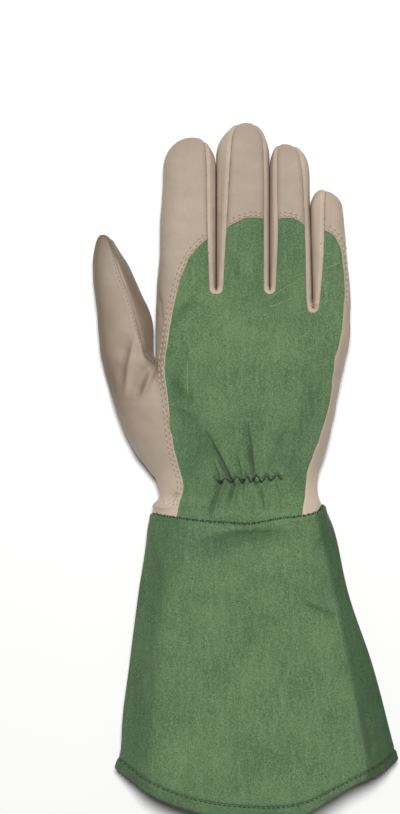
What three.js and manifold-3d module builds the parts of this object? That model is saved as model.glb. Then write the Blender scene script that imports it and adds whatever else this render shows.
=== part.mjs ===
// A rose pruning gauntlet for the right hand, lying palm down: grain leather fingers, thumb and
// palm, a cotton drill back that is gathered at the wrist, and a long flared drill cuff.
// Every piece is cut from a hollow wall along its seams, as a glove is sewn from panels.
// Frame: millimetres, +Z up, +Y towards the fingertips, +X towards the little finger. The origin
// is on the surface that the glove lies on, under the middle of the palm.
import * as THREE from "three";
import { mergeVertices } from "three/addons/utils/BufferGeometryUtils.js";
import Module from "manifold-3d";

const wasm = await Module();
wasm.setup();

// Driving dimensions, in millimetres
const HAND_LENGTH = 130; // wrist seam to the finger crotches
const HAND_WIDTH = 113; // across the knuckles
const HAND_RISE = 30; // height of the middle of the hand
const FINGER_REACH = 97; // middle finger, from crotch to tip
const FINGER_RISE = 21.8; // height of the middle finger, which lies on the surface
const FINGER_CLEARANCE = 0.9; // slit between two neighbouring fingers
const THUMB_TIP_LENGTH = 14; // rounded end of the thumb
const THUMB_LEAN = -0.3; // how far its tip stands off the middle, of a half width
const CUFF_LENGTH = 173; // wrist seam to the middle of the hem
const CUFF_MOUTH = 162; // width of the cuff's open end
const CUFF_RISE = 38; // height of the cuff's open end
const CUFF_LAP = 8; // length of the hand's end that the cuff is sewn over
const CUFF_CLEARANCE = 0.4; // cuff to the leather under it
const HEM_WIDTH = 8; // turned-up hem
const HEM_FOLD = 0.5; // extra thickness of the hem on each side
const LEATHER = 1.6; // leather wall
const CLOTH = 1.2; // drill wall
const SEAM_GAP = 0.4; // between two pieces along a seam
const SEAM_HEIGHT = 10; // side seam between palm and back
const CROTCH_TURN = 3.2; // depth of a fourchette's round end below the slit
const FLAT_DEPTH = 2; // how far a round underside would reach below the surface it is flattened on
const FOLD_LENGTH = 21; // half length of the longest gather above the wrist
const FOLD_WIDTH = 2.4; // half width of the widest fold, at the thumb
const FOLD_DEPTH = 2.4; // depth of the deepest
const DENT_LENGTH = 24; // half length of the dent across the cuff below the wrist seam
const DENT_WIDTH = 6.5; // its half width
const DENT_DEPTH = 4.5;
const FINGER_OVERLAP = 26; // length of a finger's tube inside the hand
const OUTSIDE = 200; // reach of a cutting outline beyond the glove

// Facets
const FINGER_SIDES = 14;
const HAND_SIDES = 32; // the cuff as well, so that its facets lie over those of the hand
const OUTLINE_STEPS = 26;

// Where the hand starts and ends along Y
const WRIST = -HAND_LENGTH / 2;
const CROTCH = HAND_LENGTH / 2;

// Sections of the hand. at: share of HAND_LENGTH from the origin. left, right: shares of
// HAND_WIDTH. rise: share of HAND_RISE.
const HAND_SECTIONS = [
  { at: 0.508, left: -0.5, right: 0.29, rise: 0.58 },
  { at: 0.432, left: -0.505, right: 0.302, rise: 0.72 },
  { at: 0.42, left: -0.508, right: 0.49, rise: 0.74 },
  { at: 0.308, left: -0.512, right: 0.489, rise: 0.87 },
  { at: 0.185, left: -0.512, right: 0.465, rise: 0.97 },
  { at: 0, left: -0.531, right: 0.42, rise: 1 },
  { at: -0.192, left: -0.549, right: 0.374, rise: 0.93 },
  { at: -0.362, left: -0.502, right: 0.322, rise: 0.82 },
  { at: -0.415, left: -0.49, right: 0.327, rise: 0.82 },
  { at: -0.508, left: -0.523, right: 0.367, rise: 0.87 },
];

// Sections of the thumb, with the same columns. Its rounded end follows the last one.
const THUMB_SECTIONS = [
  { at: -0.37, left: -0.487, right: -0.265, rise: 0.6 },
  { at: -0.192, left: -0.636, right: -0.283, rise: 0.83 },
  { at: 0.036, left: -0.742, right: -0.336, rise: 0.93 },
  { at: 0.165, left: -0.777, right: -0.462, rise: 0.92 },
  { at: 0.215, left: -0.789, right: -0.52, rise: 0.89 },
  { at: 0.354, left: -0.811, right: -0.52, rise: 0.84 },
  { at: 0.473, left: -0.824, right: -0.587, rise: 0.78 },
  { at: 0.642, left: -0.829, right: -0.688, rise: 0.68 },
];

// Lines between the fingers, and the outer edges of the first and last, as shares of HAND_WIDTH:
// root at the crotches, tip at the middle fingertip.
const FINGER_LINES = [
  { root: -0.502, tip: -0.461 },
  { root: -0.199, tip: -0.199 },
  { root: 0.0752, tip: 0.0752 },
  { root: 0.2956, tip: 0.271 },
  { root: 0.493, tip: 0.404 },
];

// Fingers in the order of those lines. reach: share of FINGER_REACH. rise: share of FINGER_RISE.
// lean: how far the tip stands off the middle, as a share of the finger's half width.
const FINGERS = [
  { name: "index", reach: 0.919, rise: 0.963, lean: 0.15 },
  { name: "middle", reach: 1, rise: 1, lean: 0.1 },
  { name: "ring", reach: 0.876, rise: 0.944, lean: -0.25 },
  { name: "little", reach: 0.598, rise: 0.848, lean: -0.3 },
];

// Seams of each fourchette, the side strip that lines one slit. along: share of the way from
// the crotch to the tip. left, right: distance from the slit as a share of HAND_WIDTH.
// crotch: share of HAND_LENGTH.
const FOURCHETTES = [
  {
    name: "fourchette_index_middle",
    crotch: 0.503,
    seams: [
      { along: 0, left: 0.033, right: 0.033 },
      { along: 0.38, left: 0.044, right: 0.052 },
      { along: 0.7, left: 0.048, right: 0.068 },
      { along: 0.92, left: 0.055, right: 0.084 },
      { along: 1, left: 0.072, right: 0.118 },
    ],
  },
  {
    name: "fourchette_middle_ring",
    crotch: 0.503,
    seams: [
      { along: 0, left: 0.027, right: 0.027 },
      { along: 0.38, left: 0.028, right: 0.04 },
      { along: 0.7, left: 0.029, right: 0.036 },
      { along: 0.92, left: 0.042, right: 0.038 },
      { along: 1, left: 0.085, right: 0.055 },
    ],
  },
  {
    name: "fourchette_ring_little",
    crotch: 0.42,
    seams: [
      { along: 0, left: 0.03, right: 0.032 },
      { along: 0.38, left: 0.031, right: 0.057 },
      { along: 0.7, left: 0.033, right: 0.069 },
      { along: 0.92, left: 0.05, right: 0.075 },
      { along: 1, left: 0.085, right: 0.085 },
    ],
  },
];

// Outline of the drill back, from the wrist up the thumb side and down the little finger side.
// x: share of HAND_WIDTH. y: share of HAND_LENGTH.
const BACK_OUTLINE = [
  { x: -0.407, y: -0.66 },
  { x: -0.398, y: -0.5 },
  { x: -0.369, y: -0.39 },
  { x: -0.405, y: -0.24 },
  { x: -0.448, y: 0.036 },
  { x: -0.464, y: 0.145 },
  { x: -0.427, y: 0.375 },
  { x: -0.354, y: 0.602 },
  { x: -0.242, y: 0.724 },
  { x: -0.06, y: 0.808 },
  { x: 0.191, y: 0.815 },
  { x: 0.359, y: 0.765 },
  { x: 0.442, y: 0.674 },
  { x: 0.458, y: 0.446 },
  { x: 0.405, y: 0.172 },
  { x: 0.354, y: -0.1 },
  { x: 0.27, y: -0.309 },
  { x: 0.254, y: -0.419 },
  { x: 0.226, y: -0.66 },
];

// Seams round the thumb, with the same columns. The first runs over the palm, the second down
// the face that the thumb turns to the forefinger.
const THUMB_CROTCH = { x: -0.5155, y: 0.2 };
const THUMB_PALM_SEAM = [
  { x: -0.38, y: 0.12 },
  { x: -0.31, y: -0.05 },
  { x: -0.35, y: -0.23 },
  { x: -0.5, y: -0.36 },
];
const GUSSET_SEAM = [
  { x: -0.76, y: 0.79 },
  { x: -0.742, y: 0.727 },
  { x: -0.69, y: 0.565 },
  { x: -0.647, y: 0.473 },
  { x: -0.584, y: 0.29 },
  { x: -0.556, y: 0.2 },
];
const THUMB_BACK_SEAM = { x: -0.44, y: 0.15 }; // where the short seam behind the crotch ends

// Sections of the cuff. along: share of CUFF_LENGTH from the wrist seam. left, right: shares of
// CUFF_MOUTH. rise: share of CUFF_RISE.
const CUFF_SECTIONS = [
  { along: 0.104, left: -0.392, right: 0.3, rise: 0.74 },
  { along: 0.267, left: -0.419, right: 0.341, rise: 0.79 },
  { along: 0.509, left: -0.452, right: 0.425, rise: 0.88 },
  { along: 0.705, left: -0.479, right: 0.484, rise: 0.95 },
  { along: 0.79, left: -0.486, right: 0.509, rise: 0.98 },
  { along: 0.862, left: -0.507, right: 0.529, rise: 1 },
  { along: 1.04, left: -0.515, right: 0.577, rise: 1.04 },
];
// Where the flat facets down the cuff's two sides start, as shares of a half width
const CUFF_CREASES = { left: 0.74, right: 0.62 };

// Upper and lower edge of the cuff. x: share of CUFF_MOUTH. drop: share of CUFF_LENGTH.
// fold: how much of HEM_WIDTH shows where the hem bends under.
const CUFF_TOP_EDGE = [
  { x: -0.6, drop: 0 },
  { x: -0.37, drop: 0.001 },
  { x: 0, drop: 0.021 },
  { x: 0.17, drop: 0.004 },
  { x: 0.27, drop: -0.036 },
  { x: 0.6, drop: -0.1 },
];
const CUFF_HEM_EDGE = [
  { x: -0.66, drop: 0.77, fold: 1 },
  { x: -0.505, drop: 0.857, fold: 1 },
  { x: -0.362, drop: 0.93, fold: 1 },
  { x: -0.2, drop: 0.98, fold: 1 },
  { x: 0, drop: 1.001, fold: 1 },
  { x: 0.152, drop: 0.992, fold: 1 },
  { x: 0.268, drop: 0.934, fold: 0.75 },
  { x: 0.358, drop: 0.887, fold: 0.62 },
  { x: 0.457, drop: 0.861, fold: 0.8 },
  { x: 0.535, drop: 0.815, fold: 1 },
  { x: 0.7, drop: 0.7, fold: 1 },
];

// Valley folds. on: the sections that they lie on. x: share of HAND_WIDTH. y: share of
// HAND_LENGTH. long, wide, deep: shares of the largest fold's half sizes. turn: degrees from +Y.
const FOLDS = [
  { on: "hand", x: -0.2, y: -0.27, long: 0.81, wide: 0.71, deep: 0.92, turn: 30 },
  { on: "hand", x: -0.07, y: -0.24, long: 1, wide: 0.75, deep: 1, turn: 8 },
  { on: "hand", x: 0, y: -0.31, long: 0.43, wide: 0.63, deep: 0.75, turn: -6 },
  { on: "hand", x: 0.09, y: -0.28, long: 0.72, wide: 0.68, deep: 0.75, turn: -22 },
  { on: "hand", x: -0.22, y: -0.42, long: 0.43, wide: 0.63, deep: 0.75, turn: -24 },
  { on: "hand", x: -0.13, y: -0.425, long: 0.43, wide: 0.63, deep: 0.83, turn: -14 },
  { on: "hand", x: -0.02, y: -0.41, long: 0.33, wide: 0.59, deep: 0.66, turn: 0 },
  { on: "hand", x: 0.08, y: -0.415, long: 0.38, wide: 0.63, deep: 0.66, turn: 12 },
  { on: "thumb", x: -0.7, y: 0.17, long: 0.76, wide: 1, deep: 1, turn: -14 },
  { on: "thumb", x: -0.58, y: 0.1, long: 0.43, wide: 0.83, deep: 0.83, turn: -38 },
];

// Dents and folds of the cuff. x: share of CUFF_MOUTH. along: share of CUFF_LENGTH from the wrist
// seam. long, wide, deep: shares of the dent's half sizes. turn: degrees from +Y.
const CUFF_FOLDS = [
  { x: -0.025, along: 0.094, long: 1, wide: 1, deep: 1, turn: 88 },
  { x: 0.24, along: 0.325, long: 0.37, wide: 0.34, deep: 0.3, turn: 73 },
  { x: 0.416, along: 0.79, long: 0.6, wide: 0.38, deep: 0.42, turn: 12 },
];

// Finishes, with the colours of the photograph
const PALE_LEATHER = new THREE.MeshStandardMaterial({
  name: "pale_leather",
  color: 0xb7a898,
  roughness: 0.62,
  metalness: 0,
});
const GREEN_DRILL = new THREE.MeshStandardMaterial({
  name: "green_drill",
  color: 0x638660,
  roughness: 0.92,
  metalness: 0,
});

const mix = THREE.MathUtils.lerp;
const handX = (share) => share * HAND_WIDTH;
const handY = (share) => share * HAND_LENGTH;
const cuffX = (share) => share * CUFF_MOUTH;
const cuffY = (share) => WRIST - share * CUFF_LENGTH;
const handPoint = ({ x, y }) => new THREE.Vector2(handX(x), handY(y));
const cuffPoint = ({ x, drop }) => new THREE.Vector2(cuffX(x), cuffY(drop));

// A section in millimetres: y, left and right edge, the heights of its top and underside, and
// the height of the floor that its underside is flattened on.
const handSection = ({ at, left, right, rise }) => ({
  y: handY(at),
  left: handX(left),
  right: handX(right),
  top: rise * HAND_RISE,
  bottom: -FLAT_DEPTH,
  floor: 0,
});
const cuffSection = ({ along, left, right, rise }) => ({
  y: cuffY(along),
  left: cuffX(left),
  right: cuffX(right),
  top: rise * CUFF_RISE,
  bottom: -FLAT_DEPTH,
  floor: 0,
  creases: CUFF_CREASES,
});

// The section at y between two rows of a table that runs down or up in y.
function sectionAt(rows, y) {
  const sorted = [...rows].sort((a, b) => a.y - b.y);
  const last = sorted.length - 1;
  const upper = Math.min(Math.max(1, sorted.findIndex((row) => row.y >= y)), last);
  const [a, b] = y > sorted[last].y ? [sorted[last - 1], sorted[last]] : [sorted[upper - 1], sorted[upper]];
  const share = (y - a.y) / (b.y - a.y);
  const between = (key) => mix(a[key], b[key], share);
  const sizes = ["left", "right", "top", "bottom", "floor"].map((key) => [key, between(key)]);
  return { y, creases: b.creases, ...Object.fromEntries(sizes) };
}

// A section's outline moved inwards by the depth of a wall, or outwards if depth is negative.
const inwards = (row, depth) => ({
  ...row,
  left: row.left + depth,
  right: row.right - depth,
  top: row.top - depth,
  bottom: row.bottom + depth,
  floor: Math.max(row.floor + depth, 0),
});

const ROUNDNESS = 2.5; // exponent of the rounded section, 2 for an ellipse

// Height of a section's upper side at a share, -1 to 1, of its half width.
function crown(row, share) {
  const arch = (u) => (1 - u ** ROUNDNESS) ** (1 / ROUNDNESS);
  const { left, right } = row.creases ?? { left: 1, right: 1 };
  const crease = share < 0 ? left : right;
  const out = Math.abs(share);
  const rounded = out > crease ? (arch(crease) * (1 - out)) / (1 - crease) : arch(out);
  return SEAM_HEIGHT + (row.top - SEAM_HEIGHT) * rounded;
}

// The points round one section. Its underside is flattened on the floor.
function ringOf(row, sides) {
  const middle = (row.left + row.right) / 2;
  const half = (row.right - row.left) / 2;
  const power = (value) => Math.sign(value) * Math.abs(value) ** (2 / ROUNDNESS);
  return Array.from({ length: sides }, (_, i) => {
    const angle = (i / sides) * 2 * Math.PI;
    const across = power(Math.cos(angle));
    const down = SEAM_HEIGHT + (SEAM_HEIGHT - row.bottom) * power(Math.sin(angle));
    const z = Math.sin(angle) > 1e-9 ? crown(row, across) : Math.max(row.floor, down);
    return new THREE.Vector3(middle + half * across, row.y, z);
  });
}

// A closed body through rings of points, with a fan to a point at each end.
function loft(rings, startPoint, endPoint) {
  const sides = rings[0].length;
  const points = [startPoint, ...rings.flat(), endPoint];
  const last = points.length - 1;
  const at = (ring, i) => 1 + ring * sides + (i % sides);
  const faces = [];
  for (let i = 0; i < sides; i++) {
    faces.push(0, at(0, i + 1), at(0, i));
    faces.push(last, at(rings.length - 1, i), at(rings.length - 1, i + 1));
    for (let ring = 0; ring < rings.length - 1; ring++) {
      const [a, b, c, d] = [at(ring, i), at(ring, i + 1), at(ring + 1, i + 1), at(ring + 1, i)];
      faces.push(a, b, c, a, c, d);
    }
  }
  const geometry = new THREE.BufferGeometry().setFromPoints(points);
  geometry.setIndex(faces);
  return geometry;
}

// A three.js geometry as a manifold solid.
function solid(geometry) {
  const bare = new THREE.BufferGeometry();
  bare.setAttribute("position", geometry.getAttribute("position"));
  bare.setIndex(geometry.getIndex());
  const merged = mergeVertices(bare, 1e-4);
  const made = new wasm.Manifold(
    new wasm.Mesh({
      numProp: 3,
      vertProperties: merged.attributes.position.array,
      triVerts: new Uint32Array(merged.index.array),
    }),
  );
  if (made.volume() >= 0) return made;
  const flipped = merged.index.array.slice();
  for (let i = 0; i < flipped.length; i += 3) [flipped[i], flipped[i + 1]] = [flipped[i + 1], flipped[i]];
  merged.setIndex(new THREE.BufferAttribute(flipped, 1));
  return solid(merged);
}

const END_SHARE = 0.64; // length of a fingertip's round end, of the finger's width

const middleOf = (ring) =>
  ring.reduce((sum, point) => sum.add(point), new THREE.Vector3()).divideScalar(ring.length);

// A tube through sections, flat at both ends.
function tube(rows, depth, sides) {
  const rings = rows.map((row) => ringOf(inwards(row, depth), sides));
  return solid(loft(rings, middleOf(rings[0]), middleOf(rings.at(-1))));
}

// A tube through sections that closes in a round end of the given length past the last one.
const END_TURNS = [0.3, 0.56, 0.78, 0.93].map((share) => (share * Math.PI) / 2);
function stall(rows, endLength, lean, depth) {
  const last = inwards(rows.at(-1), depth);
  const reach = endLength - depth;
  const middle = (last.left + last.right) / 2;
  const half = (last.right - last.left) / 2;
  const endRow = (turn) => {
    const size = Math.cos(turn);
    const centre = middle + lean * half * (1 - size);
    return {
      y: last.y + reach * Math.sin(turn),
      left: centre - half * size,
      right: centre + half * size,
      top: SEAM_HEIGHT + (last.top - SEAM_HEIGHT) * size,
      bottom: SEAM_HEIGHT - (SEAM_HEIGHT - last.bottom) * size,
      floor: last.floor,
    };
  };
  const body = rows.map((row) => ringOf(inwards(row, depth), FINGER_SIDES));
  const end = END_TURNS.map((turn) => ringOf(endRow(turn), FINGER_SIDES));
  const tip = new THREE.Vector3(middle + lean * half, last.y + reach, SEAM_HEIGHT);
  return solid(loft([...body, ...end], middleOf(body[0]), tip));
}

// x of a finger line at y
const lineX = (line, y) => handX(mix(line.root, line.tip, Math.max(0, y - CROTCH) / FINGER_REACH));
const tipY = (finger) => CROTCH + finger.reach * FINGER_REACH;

// A finger's tube: straight sections from inside the hand to where its round end begins.
function fingerStall(finger, number, depth) {
  const [leftLine, rightLine] = [FINGER_LINES[number], FINGER_LINES[number + 1]];
  const isSlit = (line) => line !== FINGER_LINES[0] && line !== FINGER_LINES.at(-1);
  const leftGap = isSlit(leftLine) ? FINGER_CLEARANCE / 2 : 0;
  const rightGap = isSlit(rightLine) ? FINGER_CLEARANCE / 2 : 0;
  const section = (y) => ({
    y,
    left: lineX(leftLine, y) + leftGap,
    right: lineX(rightLine, y) - rightGap,
    top: finger.rise * FINGER_RISE,
    bottom: -FLAT_DEPTH,
    floor: 0,
  });
  const tip = section(tipY(finger));
  const endLength = END_SHARE * (tip.right - tip.left);
  const shoulder = tipY(finger) - endLength;
  const root = [section(CROTCH - FINGER_OVERLAP), section(CROTCH - FINGER_OVERLAP / 2)];
  const rows = [inwards(root[0], LEATHER), root[1], section((CROTCH + shoulder) / 2), section(shoulder)];
  return stall(rows, endLength, finger.lean, depth);
}

// The end of the hand lies inside the cuff, so it stands off the surface by the cuff's wall.
const HAND_END = WRIST - CUFF_LAP;
const LAP_FLOOR = CLOTH + CUFF_CLEARANCE;
const THUMB_ROWS = THUMB_SECTIONS.map(handSection);
const HAND_ROWS = HAND_SECTIONS.map(handSection);
const inCuff = (row) => ({ ...row, floor: LAP_FLOOR });
const handEnd = sectionAt([...HAND_ROWS, cuffSection(CUFF_SECTIONS[0])], HAND_END);
const lapStart = sectionAt(HAND_ROWS, WRIST + CUFF_LAP);
HAND_ROWS.splice(-1, 1, ...[lapStart, HAND_ROWS.at(-1), handEnd].map(inCuff));

// The whole hand with fingers and thumb, its surface moved inwards by depth. The hollow runs
// out past the wrist.
function handForm(depth) {
  const rows = [...HAND_ROWS];
  if (depth > 0) {
    rows[0] = { ...rows[0], y: rows[0].y - depth };
    rows[rows.length - 1] = { ...rows.at(-1), y: HAND_END - OUTSIDE };
  }
  const stalls = FINGERS.map((finger, number) => fingerStall(finger, number, depth));
  const thumb = stall(THUMB_ROWS, THUMB_TIP_LENGTH, THUMB_LEAN, depth);
  return wasm.Manifold.union([tube(rows, depth, HAND_SIDES), thumb, ...stalls]);
}

// Height of the glove's upper side at a point of the plan.
function heightAt(rows, x, y) {
  const row = sectionAt(rows, y);
  const share = (2 * x - row.left - row.right) / (row.right - row.left);
  return crown(row, Math.min(Math.max(share, -1), 1));
}

// A valley fold as a spindle that lies in the surface at a point of the plan.
function spindle(rows, { x, y }, wide, long, deep, turn) {
  const geometry = new THREE.SphereGeometry(1, 6, 5);
  geometry.scale(wide, long, deep);
  geometry.rotateZ(THREE.MathUtils.degToRad(turn));
  geometry.translate(x, y, heightAt(rows, x, y));
  return solid(geometry);
}

// All the folds of the hand and thumb, made thicker by grow.
function foldSpindles(grow) {
  const spindles = FOLDS.map((fold) => {
    const rows = fold.on === "thumb" ? THUMB_ROWS : HAND_ROWS;
    const [wide, long, deep] = [fold.wide * FOLD_WIDTH, fold.long * FOLD_LENGTH, fold.deep * FOLD_DEPTH];
    return spindle(rows, handPoint(fold), wide + grow, long + grow, deep + grow, fold.turn);
  });
  return wasm.Manifold.union(spindles);
}

// A flat outline moved inwards all round by distance, or outwards if it is negative.
function inset(points, distance) {
  const area = THREE.ShapeUtils.area(points);
  const count = points.length;
  return points.map((point, i) => {
    const before = point.clone().sub(points[(i + count - 1) % count]).normalize();
    const after = points[(i + 1) % count].clone().sub(point).normalize();
    const normal = new THREE.Vector2(-before.y - after.y, before.x + after.x).normalize();
    const stretch = Math.max(0.4, normal.dot(new THREE.Vector2(-before.y, before.x)));
    return point.clone().addScaledVector(normal, (Math.sign(area) * distance) / stretch);
  });
}

// An upright block on a flat outline, from one height to another.
function block(points, low = -OUTSIDE, high = OUTSIDE) {
  const geometry = new THREE.ExtrudeGeometry(new THREE.Shape(points), {
    depth: high - low,
    bevelEnabled: false,
  });
  return solid(geometry.translate(0, 0, low));
}
const upper = (points) => block(points, SEAM_HEIGHT + SEAM_GAP / 2);
const lower = (points) => block(points, -OUTSIDE, SEAM_HEIGHT - SEAM_GAP / 2);
const within = (points) => inset(points, SEAM_GAP / 2); // the outline of a piece
const around = (points) => inset(points, -SEAM_GAP / 2); // what its neighbours leave free
const point = (x, y) => new THREE.Vector2(x, y);

// Plan outline of a fourchette: down one seam, round the crotch, and up the other.
function fourchetteOutline(fourchette, number) {
  const line = FINGER_LINES[number + 1];
  const crotch = handY(fourchette.crotch);
  const side = (finger, key, sign) =>
    fourchette.seams.map((seam) => {
      const y = mix(crotch, tipY(finger), seam.along);
      return point(lineX(line, y) + sign * handX(seam[key]), y);
    });
  const left = side(FINGERS[number], "left", -1);
  const right = side(FINGERS[number + 1], "right", 1);
  const turn = [0.2, 0.4, 0.6, 0.8].map((share) => {
    const angle = share * Math.PI;
    const x = mix(left[0].x, right[0].x, (1 - Math.cos(angle)) / 2);
    return point(x, crotch - CROTCH_TURN * Math.sin(angle));
  });
  const beyond = tipY(FINGERS[1]) + LEATHER;
  return [point(left.at(-1).x, beyond), ...left.reverse(), ...turn, ...right, point(right.at(-1).x, beyond)];
}

const FOURCHETTE_OUTLINES = FOURCHETTES.map(fourchetteOutline);
const BACK_PLAN = new THREE.SplineCurve(BACK_OUTLINE.map(handPoint)).getSpacedPoints(OUTLINE_STEPS);
const CROTCH_POINT = handPoint(THUMB_CROTCH);
const CROTCH_SEAM_END = handPoint(THUMB_BACK_SEAM);
const slitOf = (line) => ({ root: lineX(line, CROTCH), tip: lineX(line, CROTCH + FINGER_REACH) });
const [INDEX_SLIT, MIDDLE_SLIT, RING_SLIT] = FINGER_LINES.slice(1, -1).map(slitOf);

// Plan regions that the seams divide. Where a region runs into the drill back or a fourchette,
// that piece is cut out of it.
const THUMB_BACK_PLAN = [
  point(CROTCH_POINT.x, OUTSIDE),
  CROTCH_POINT,
  CROTCH_SEAM_END,
  point(handX(-0.3), handY(-0.4)),
  point(handX(-0.3), -OUTSIDE),
  point(-OUTSIDE, -OUTSIDE),
  point(-OUTSIDE, OUTSIDE),
];
const FOREFINGER_PLAN = [
  point(CROTCH_POINT.x, OUTSIDE),
  CROTCH_POINT,
  CROTCH_SEAM_END,
  point(INDEX_SLIT.root, handY(0.45)),
  point(INDEX_SLIT.tip, OUTSIDE),
];
const MIDDLE_TIP_PLAN = [
  point(INDEX_SLIT.root, CROTCH),
  point(MIDDLE_SLIT.root, CROTCH),
  point(MIDDLE_SLIT.tip, OUTSIDE),
  point(INDEX_SLIT.tip, OUTSIDE),
];
const RING_TIP_PLAN = [
  point(MIDDLE_SLIT.root, CROTCH),
  point(RING_SLIT.root, CROTCH),
  point(RING_SLIT.tip, OUTSIDE),
  point(MIDDLE_SLIT.tip, OUTSIDE),
];
const LITTLE_BACK_PLAN = [
  point(RING_SLIT.root, CROTCH),
  point(handX(0.15), handY(-0.3)),
  point(handX(0.15), -OUTSIDE),
  point(OUTSIDE, -OUTSIDE),
  point(OUTSIDE, OUTSIDE),
  point(RING_SLIT.tip, OUTSIDE),
];
const THUMB_PALM_PLAN = [
  point(CROTCH_POINT.x, OUTSIDE),
  CROTCH_POINT,
  ...THUMB_PALM_SEAM.map(handPoint),
  point(-OUTSIDE, handY(-0.55)),
  point(-OUTSIDE, OUTSIDE),
];
const GUSSET_PLAN = [
  point(handX(GUSSET_SEAM[0].x), OUTSIDE),
  ...GUSSET_SEAM.map(handPoint),
  point(CROTCH_POINT.x, CROTCH_POINT.y - CROTCH_TURN),
  point(CROTCH_POINT.x, OUTSIDE),
];

// A rectangle that takes in the whole glove above y.
const rectangle = (y) => [
  point(-OUTSIDE, y),
  point(OUTSIDE, y),
  point(OUTSIDE, OUTSIDE),
  point(-OUTSIDE, OUTSIDE),
];

// The walls. The drill lies a little lower than the leather that is stitched over its edge.
const HOLLOW = handForm(LEATHER).subtract(foldSpindles(LEATHER));
const FOLD_CUTS = foldSpindles(0);
const LEATHER_WALL = handForm(0).subtract(FOLD_CUTS).subtract(HOLLOW);
const CLOTH_WALL = handForm(LEATHER - CLOTH)
  .subtract(foldSpindles(LEATHER - CLOTH))
  .subtract(HOLLOW)
  .intersect(block(rectangle(HAND_END)));

const fourchetteCuts = wasm.Manifold.union(FOURCHETTE_OUTLINES.map((outline) => block(around(outline))));
const gussetCut = block(around(GUSSET_PLAN));
const backCut = upper(around(BACK_PLAN)).add(block(around(BACK_PLAN), SEAM_HEIGHT, OUTSIDE));
const sewnFree = LEATHER_WALL.subtract(fourchetteCuts);
const upperPiece = (plan) => sewnFree.intersect(upper(within(plan))).subtract(backCut);

// The palm leather takes in the undersides of the fingers and wraps round to the back of the
// forefinger.
function palmLeather() {
  return sewnFree
    .intersect(lower(rectangle(-OUTSIDE)).add(block(within(FOREFINGER_PLAN))))
    .subtract(backCut)
    .subtract(gussetCut)
    .subtract(block(around(THUMB_PALM_PLAN), -OUTSIDE, SEAM_HEIGHT + SEAM_GAP / 2));
}

// The cuff's tube starts over the end of the hand and flares to its mouth, with its folds.
const CUFF_LAP_ROWS = HAND_ROWS.slice(-5).map((row) => inwards(row, -LAP_FLOOR));
const CUFF_ROWS = [...CUFF_LAP_ROWS, ...CUFF_SECTIONS.map(cuffSection)];
function cuffForm(depth) {
  const spindles = CUFF_FOLDS.map((fold) => {
    const [wide, long, deep] = [fold.wide * DENT_WIDTH, fold.long * DENT_LENGTH, fold.deep * DENT_DEPTH];
    const place = point(cuffX(fold.x), cuffY(fold.along));
    return spindle(CUFF_ROWS, place, wide + depth, long + depth, deep + depth, fold.turn);
  });
  return tube(CUFF_ROWS, depth, HAND_SIDES).subtract(wasm.Manifold.union(spindles));
}

const curve = (points, steps) => new THREE.SplineCurve(points).getPoints(steps);
const shifted = (points, dy) => points.map(({ x, y }) => point(x, y + dy));
const band = (top, bottom) => block([...top, ...[...bottom].reverse()]);
const TOP_EDGE = curve(CUFF_TOP_EDGE.map(cuffPoint), 10);
const HEM_EDGE = curve(CUFF_HEM_EDGE.map(cuffPoint), 18);
const hemLine = (row) => cuffPoint(row).add(point(0, row.fold * HEM_WIDTH));
const HEM_LINE = curve(CUFF_HEM_EDGE.map(hemLine), 18);

function cuffPiece() {
  const wall = cuffForm(0).subtract(cuffForm(CLOTH));
  return wall.intersect(band(TOP_EDGE, shifted(HEM_LINE, SEAM_GAP / 2)));
}
function hemPiece() {
  const wall = cuffForm(-HEM_FOLD).subtract(cuffForm(CLOTH + HEM_FOLD));
  return wall.intersect(band(shifted(HEM_LINE, -SEAM_GAP / 2), HEM_EDGE));
}

// One named mesh for each piece of the glove.
function meshOf(name, made, material) {
  const { vertProperties, triVerts } = made.getMesh();
  const geometry = new THREE.BufferGeometry();
  geometry.setAttribute("position", new THREE.BufferAttribute(vertProperties, 3));
  geometry.setIndex(new THREE.BufferAttribute(triVerts, 1));
  geometry.computeVertexNormals();
  const mesh = new THREE.Mesh(geometry, material);
  mesh.name = name;
  return mesh;
}

const gauntlet = new THREE.Group();
gauntlet.name = "rose_pruning_gauntlet";
gauntlet.add(meshOf("palm", palmLeather(), PALE_LEATHER));
FOURCHETTES.forEach(({ name }, number) => {
  const strip = LEATHER_WALL.intersect(block(within(FOURCHETTE_OUTLINES[number])));
  gauntlet.add(meshOf(name, strip, PALE_LEATHER));
});
gauntlet.add(meshOf("middle_tip", upperPiece(MIDDLE_TIP_PLAN), PALE_LEATHER));
gauntlet.add(meshOf("ring_tip", upperPiece(RING_TIP_PLAN), PALE_LEATHER));
gauntlet.add(meshOf("little_back", upperPiece(LITTLE_BACK_PLAN), PALE_LEATHER));
gauntlet.add(meshOf("thumb_back", upperPiece(THUMB_BACK_PLAN).subtract(gussetCut), PALE_LEATHER));
gauntlet.add(
  meshOf("thumb_palm", sewnFree.intersect(lower(within(THUMB_PALM_PLAN))).subtract(gussetCut), PALE_LEATHER),
);
gauntlet.add(meshOf("thumb_gusset", LEATHER_WALL.intersect(block(within(GUSSET_PLAN))), PALE_LEATHER));
gauntlet.add(
  meshOf("back_panel", CLOTH_WALL.intersect(upper(within(BACK_PLAN))).subtract(fourchetteCuts), GREEN_DRILL),
);
gauntlet.add(meshOf("cuff", cuffPiece(), GREEN_DRILL));
gauntlet.add(meshOf("cuff_hem", hemPiece(), GREEN_DRILL));

export default gauntlet;
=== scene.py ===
"""A right-hand rose pruning gauntlet that lies palm down: pale grain leather fingers, thumb and
palm, a green cotton drill back gathered at the wrist, and a long flared drill cuff.
Sections are worked out in millimetres and become metres when a piece is finished."""
import math

import bmesh
import bpy
import numpy as np
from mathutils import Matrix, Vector
from mathutils.bvhtree import BVHTree
from mathutils.kdtree import KDTree


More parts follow.
